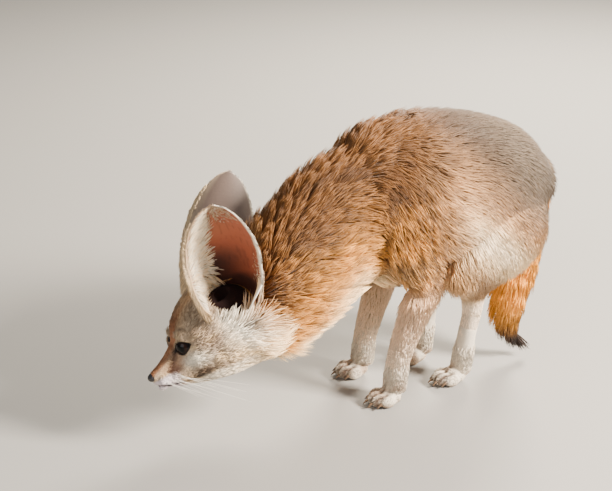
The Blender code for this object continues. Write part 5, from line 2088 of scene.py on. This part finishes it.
    def back_colour(self, u: Array, v: Array) -> Array:
        """The colour behind the ear: grey-buff, paler at the margins and darker low down.

        Args:
            u: from root to tip
            v: from margin to margin

        Returns:
            a colour for each place
        """
        f = v * self.ear.front()
        colour = mix(EAR_BACK, WHITE, 0.6 * ramp(-f, 0.82, 1.0))
        colour = mix(colour, FACE_GREY, 0.8 * ramp(f, 0.55, 0.95))
        return mix(colour, GOLD, 0.55 * (1 - ramp(u, 0.12, 0.45)))

    def lining_colour(self, u: Array, v: Array) -> Array:
        """The colour in the cup: pink, with painted shade nearly black deep in the cup over its dark red
        skin, pale at the margins.

        Args:
            u: from root to tip
            v: from margin to margin

        Returns:
            a colour for each place
        """
        f = v * self.ear.front()
        # Painted shade deep in the cup, nearly black over its dark red skin, low down and towards the middle
        deep_shade = np.maximum((1 - ramp(u, 0.30, 0.66)) * bump(f, 0.25, 0.80), 1 - ramp(u, 0.14, 0.34))
        upper = bump(u, 0.72, 0.16) * bump(f, 0.10, 0.55)
        colour = mix(EAR_PINK, EAR_SHADE_AND_VEIN, 0.95 * deep_shade)
        colour = mix(colour, LINING_WARM, 0.65 * upper)
        spots = np.stack([u * 14, f * 30 - 8 * u, 0 * u], axis=-1)
        vein = cloud(spots.reshape(-1, 3), 1.0, 9).reshape(u.shape)
        colour = mix(colour, EAR_SHADE_AND_VEIN, 0.30 * ramp(vein, 0.62, 0.85))
        colour = mix(colour, WHITE, 0.9 * ramp(-f, 0.88, 0.97))
        return mix(colour, mix(CREAM, FACE_GREY, 0.6), 0.9 * ramp(f, 0.90, 0.985))

    @staticmethod
    def places(count: int, low: float, high: float, rng: Draws) -> tuple[Array, Array]:
        """Even random places on the cup: u between low and high, v from margin to margin.

        Args:
            count: how many to draw
            low: least u
            high: greatest u
            rng: gives the draws

        Returns:
            u and v of those kept
        """
        u = rng.uniform(low, high, count)
        v = rng.uniform(0.0, 1.0, count) * np.where(rng.uniform(0, 1, count) < 0.5, -1, 1)
        width = np.interp(u, EAR_HEIGHTS, [0.75, 0.9, 1, 1, 0.93, 0.74, 0.53, 0.34, 0.1])
        keep = rng.uniform(0, 1, count) < width
        return u[keep], v[keep]

    def back_coat(self, rng: Draws, cell: tuple[int, int]) -> Lie:
        """The short coat behind the ear, which lies towards the tip.

        Args:
            rng: gives the draws
            cell: the cell of the map

        Returns:
            the tufts
        """
        u, v = self.places(self.back_hairs, 0.02, 0.995, rng)
        place, tip, margin, inward = self.ear.frame_at(u, v)
        normals = -inward
        thick = np.interp(u, [0, 1], [1.0, 0.5])[:, None]
        sway = (rng.uniform(-0.25, 0.25, len(u)) + 0.35 * v * ramp(u, 0.6, 1.0))[:, None]
        flow = laid(tip + margin * sway, normals)
        colour = self.back_colour(u, v) * rng.uniform(0.84, 1.12, len(u))[:, None]
        length = np.interp(u, [0, 0.2, 0.5, 1.0], [8.0, 5.5, 4.2, 2.6])
        hair = Hair(lift=10.0, width=0.75, dark=0.05)
        uv = cell_uv(cell, u, (v + 1) * 3.0)
        return hair.lie(place + normals * thick * 0.7, normals, flow, length, colour, uv, rng)

    def fringe(self, rng: Draws, cell: tuple[int, int]) -> Lie:
        """The hairs in the cup: long and white inside the front margin, short behind, brown-grey on top.

        Args:
            rng: gives the draws
            cell: the cell of the map

        Returns:
            the tufts
        """
        u, v = self.places(self.fringe_hairs, 0.03, 0.99, rng)
        f = v * self.ear.front()
        wide = np.interp(u, [0, 0.15, 0.45, 0.75, 1.0], [0.95, 0.75, 0.60, 0.60, 0.8])
        from_front = np.where(f > -0.2, (1 - f) / wide, 9.0)
        from_rear = np.where(f < 0, (1 + f) / np.interp(u, [0, 0.3, 0.45], [0.5, 0.4, 0.2]), 9.0)
        from_top = (1 - u) / 0.27
        near = np.minimum(np.minimum(from_front, from_rear), from_top)
        keep = near < rng.uniform(0.30, 1.0, len(u))
        u, v, f = u[keep], v[keep], f[keep]
        top = (from_top < from_front)[keep] & (np.abs(f) < 0.8)
        rear = (f < 0) & ~top
        place, tip, margin, inward = self.ear.frame_at(u, v)
        to_middle = -margin * np.sign(v)[:, None]
        rise = 0.75 - 1.65 * (1 - ramp(u, 0.15, 0.62))
        inner = np.interp(u, [0, 0.3, 0.6], [0.30, 0.55, 0.80])
        flow = to_middle * np.where(top, 0.15, inner)[:, None] + tip * np.where(top, 0.9, rise)[:, None]
        longer = np.interp(u, [0, 0.2, 0.5, 0.85, 1.0], [1.25, 1.35, 1.0, 0.65, 0.35])
        length = np.where(rear, 3.4, 13.5) * longer
        length = np.where(top, 4.5, length) * rng.uniform(0.6, 1.15, len(u))
        colour = mix(WHITE, CREAM, rng.uniform(0, 1, len(u)))
        colour = mix(colour, BREECH_BROWN, np.where(top, rng.uniform(0.3, 1.0, len(u)), 0.0))
        colour = mix(colour, DARK_BROWN, 0.45 * (rng.uniform(0, 1, len(u)) < 0.12))
        thick = np.interp(u, [0, 1], [1.0, 0.5])[:, None]
        hair = Hair(lift=15.0, width=0.6, dark=0.0)
        uv = cell_uv(cell, u, (v + 1) * 3.0)
        return hair.lie(place + inward * thick * 0.6, inward, laid(flow, inward), length, colour, uv, rng)


@dataclass
class Claws:
    """The claws of the four paws.

    Each station holds how far it is from the toe's middle along x, how much wider than the toes it stands,
    its height, and its reach up, down and sideways.
    """

    stations: tuple = (
        (-3.6, 1.0, 4.9, 1.35, 1.35, 1.15),
        (-7.2, 1.03, 4.4, 0.95, 0.95, 0.85),
        (-9.9, 1.05, 2.6, 0.35, 0.35, 0.3),
    )

    def build(self) -> Object:
        """A curved cone from each toe, along a smooth curve through three stations, all in one piece.

        Returns:
            the claws
        """
        parts = []
        for foot in FEET:
            x, y = foot.at
            for forward, across, _ in TOES:
                rows = smooth_rows(np.array([
                    (x + forward * foot.length + ahead, y + across * foot.half * wider, *rest)
                    for ahead, wider, *rest in self.stations
                ]), 10)
                centres = rows[:, :3]
                parts.append(tube_mesh(centres, *frames(centres), *rows[:, 3:].T, around=10, cap=2))
        made = outward(make_object("claws", *merged(parts)))
        CLAW_FINISH.dress(made)
        return made


def split(lie: Lie, groups: Array) -> list[Lie]:
    """The parts of a Lie by group number.

    Args:
        lie: the tufts
        groups: a group number for each tuft

    Returns:
        a Lie for each group
    """
    made = []
    for n in range(int(groups.max()) + 1):
        mine = groups == n
        made.append(Lie(**{key: value[mine] for key, value in vars(lie).items()}))
    return made


@dataclass
class Fox:
    """The whole animal: one skin, the coat pieces on it, eyes, nose, ears, claws and whiskers."""

    seed: int = SEED
    # How dark the skin of body, paws and head is, as a share of its coat
    shades: tuple[float, float, float] = (0.55, 0.8, 0.75)
    body: Body = field(default_factory=Body)
    head: Head = field(default_factory=Head)

    def build(self) -> None:
        """Build each piece and set it in the frame."""
        rng = np.random.default_rng(self.seed)
        tufts = Tufts(np.random.default_rng(self.seed + 1))
        body, paws = self.body.skin_parts()
        head = self.head.skin_part()
        self.body_coat(body, paws, tufts, rng)
        self.head_coat(head, tufts, rng)
        self.skin(body, paws, head)
        for n, ear in enumerate(EARS):
            self.ear(EarPiece(ear), n, tufts, rng)
        for obj, node in zip(self.head.eyes(), ("left_eye", "right_eye")):
            place_piece(obj, (node,))
        place_piece(self.head.nose(), ("nose",))
        place_piece(self.head.whiskers(rng))
        place_piece(Claws().build())

    def body_coat(self, body: Object, paws: Object, tufts: Tufts, rng: Draws) -> None:
        """The coat of trunk, legs and tail in a few pieces, and that of the paws.

        Args:
            body: the skin of trunk and legs
            paws: the skin of the paws
            tufts: the maker of tufts
            rng: gives the draws
        """
        points, normals = roots_on(body, self.body.density, rng)
        # The paws' own short coat takes over here
        keep = points[:, 2] > 16 + 14 * rng.uniform(0, 1, len(points)) ** 2
        lie = self.body.lie(points[keep], normals[keep], rng)
        x, z = lie.points[:, 0], lie.points[:, 2]
        tail = (np.floor(lie.uv * GRID) == CELLS[Part.TAIL]).all(axis=1)
        areas = [tail, (z < 84) & (x < 45), z < 84, x < -22, x < 18, x < 58, x < 100]
        groups = np.select(areas, range(len(areas)), len(areas))
        names = ["tail", "forelegs", "hind_legs", "neck", "shoulders", "ribs", "loin", "rump"]
        for name, part in zip(names, split(lie, groups)):
            rings = LONG_RINGS if name in ("tail", "neck", "shoulders") else SHORT_RINGS
            tufts.coat(f"coat_{name}", part, rings, "tail" if name == "tail" else "fur")
        points, normals = roots_on(paws, self.body.paw_density, rng)
        tufts.coat("coat_paws", self.body.paw_lie(points, normals, rng), SHORT_RINGS, "pale_fur")

    def head_coat(self, head: Object, tufts: Tufts, rng: Draws) -> None:
        """The coat of the head: muzzle and face in short tufts, cheeks and crown in longer ones.

        Args:
            head: the head's skin
            tufts: the maker of tufts
            rng: gives the draws
        """
        points, normals = roots_on(head, self.head.density, rng)
        lie = self.head.lie(points, normals, rng)
        groups = np.where(to_head(points)[:, 0] < 42, 0, 1)
        face, cheeks = split(lie, groups)
        tufts.coat("coat_face", face, SHORT_RINGS, "fur")
        tufts.coat("coat_cheeks", cheeks, LONG_RINGS, "fur")

    def skin(self, body: Object, paws: Object, head: Object) -> None:
        """Paint the three parts of the skin, join them and let the piece stand for the nodes of flesh.

        Args:
            body: the skin of trunk and legs
            paws: the skin of the paws
            head: the head's skin
        """
        points = points_of(body)
        paint(body, body_colour(points, *blended(points)) * self.shades[0])
        paint(paws, paw_colour(points_of(paws)) * self.shades[1])
        paint(head, head_colour(to_head(points_of(head))) * self.shades[2])
        bm = bmesh.new()
        for obj in (body, paws, head):
            bm.from_mesh(obj.data)
            bpy.data.objects.remove(obj)
        mesh = bpy.data.meshes.new("skin")
        bm.to_mesh(mesh)
        bm.free()
        mesh.polygons.foreach_set("use_smooth", np.ones(len(mesh.polygons), bool))
        made = bpy.data.objects.new("skin", mesh)
        bpy.context.scene.collection.objects.link(made)
        SKIN_FINISH.dress(made)
        flesh = [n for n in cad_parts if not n.endswith(("_eye", "_ear")) and n != "nose"]
        place_piece(made, tuple(flesh))

    def ear(self, piece: EarPiece, n: int, tufts: Tufts, rng: Draws) -> None:
        """An ear's cup and fold, the coat behind it and outside its front margin, and its fringe.

        Args:
            piece: the ear
            n: its column on the map
            tufts: the maker of tufts
            rng: gives the draws
        """
        name = piece.ear.name
        place_piece(piece.cup(), (name,))
        place_piece(piece.pouch())
        tufts.coat(f"coat_{name}", piece.back_coat(rng, (n, 2)), SHORT_RINGS, "ear")
        tufts.coat(f"base_{name}", piece.base_coat(rng, (n, 2)), SHORT_RINGS, "ear")
        tufts.coat(f"fringe_{name}", piece.fringe(rng, (n, 3)), LONG_RINGS, "ear")


@dataclass
class Studio:
    """Floor, lights, backdrop colour and camera."""

    eye: tuple[float, float, float] = (-538.7, -839.9, 516.5)
    right: tuple[float, float, float] = (0.8660, -0.5, 0.0)
    back: tuple[float, float, float] = (-0.4636, -0.8030, 0.3746)
    lens: float = 89.87

    def build(self) -> None:
        """Set up the studio."""
        self.floor()
        self.world()
        self.light("key", (0.66, -0.82, 0.74), 0.30, 92.0, (1.0, 0.90, 0.79))
        self.light("rim", (0.85, 0.65, 0.80), 0.35, 52.0, (1.0, 0.90, 0.76))
        self.light("fill", (-1.1, -0.6, 0.7), 1.0, 9.0, (0.97, 0.97, 1.0))
        self.camera()

    def floor(self) -> None:
        """A plain pale floor."""
        size = 6000.0
        points = np.array([(-size, -size, 0), (size, -size, 0), (size, size, 0), (-size, size, 0)])
        obj = make_object("floor", points, np.array([[0, 1, 2, 3]]), smooth=False)
        FLOOR_FINISH.dress(obj)

    def world(self) -> None:
        """A pale even sky."""
        world = bpy.data.worlds.new("studio")
        bpy.context.scene.world = world
        world.use_nodes = True
        sky = world.node_tree.nodes["Background"]
        sky.inputs["Color"].default_value = (0.90, 0.92, 0.95, 1.0)
        sky.inputs["Strength"].default_value = 0.30

    def light(self, name: str, place: tuple, size: float, power: float, colour: tuple) -> None:
        """A soft square light at a place in metres, aimed at the fox's middle.

        Args:
            name: its name
            place: in metres
            size: of its square in metres
            power: in watts
            colour: red, green and blue
        """
        lamp = bpy.data.lights.new(name, "AREA")
        lamp.size, lamp.energy, lamp.color = size, power, colour
        obj = bpy.data.objects.new(name, lamp)
        bpy.context.scene.collection.objects.link(obj)
        obj.location = place
        obj.rotation_euler = (Vector((0, 0, 0.1)) - Vector(place)).to_track_quat("-Z", "Y").to_euler()

    def camera(self) -> None:
        """The camera at the photograph's angle: 30 degrees forward of the left side, 22 above the level."""
        data = bpy.data.cameras.new("camera")
        data.lens, data.sensor_width = self.lens, 36.0
        data.clip_start, data.clip_end = 0.05, 50.0
        obj = bpy.data.objects.new("camera", data)
        bpy.context.scene.collection.objects.link(obj)
        right, back = Vector(self.right), Vector(self.back)
        up = back.cross(right)
        turn = Matrix((right, up, back)).transposed().to_4x4()
        turn.translation = Vector((np.array(self.eye) + SHIFT) * MM)
        obj.matrix_world = turn
        bpy.context.scene.camera = obj


def main() -> None:
    """Build the fox and its studio."""
    Fox().build()
    Studio().build()


if __name__ == "__main__":
    main()
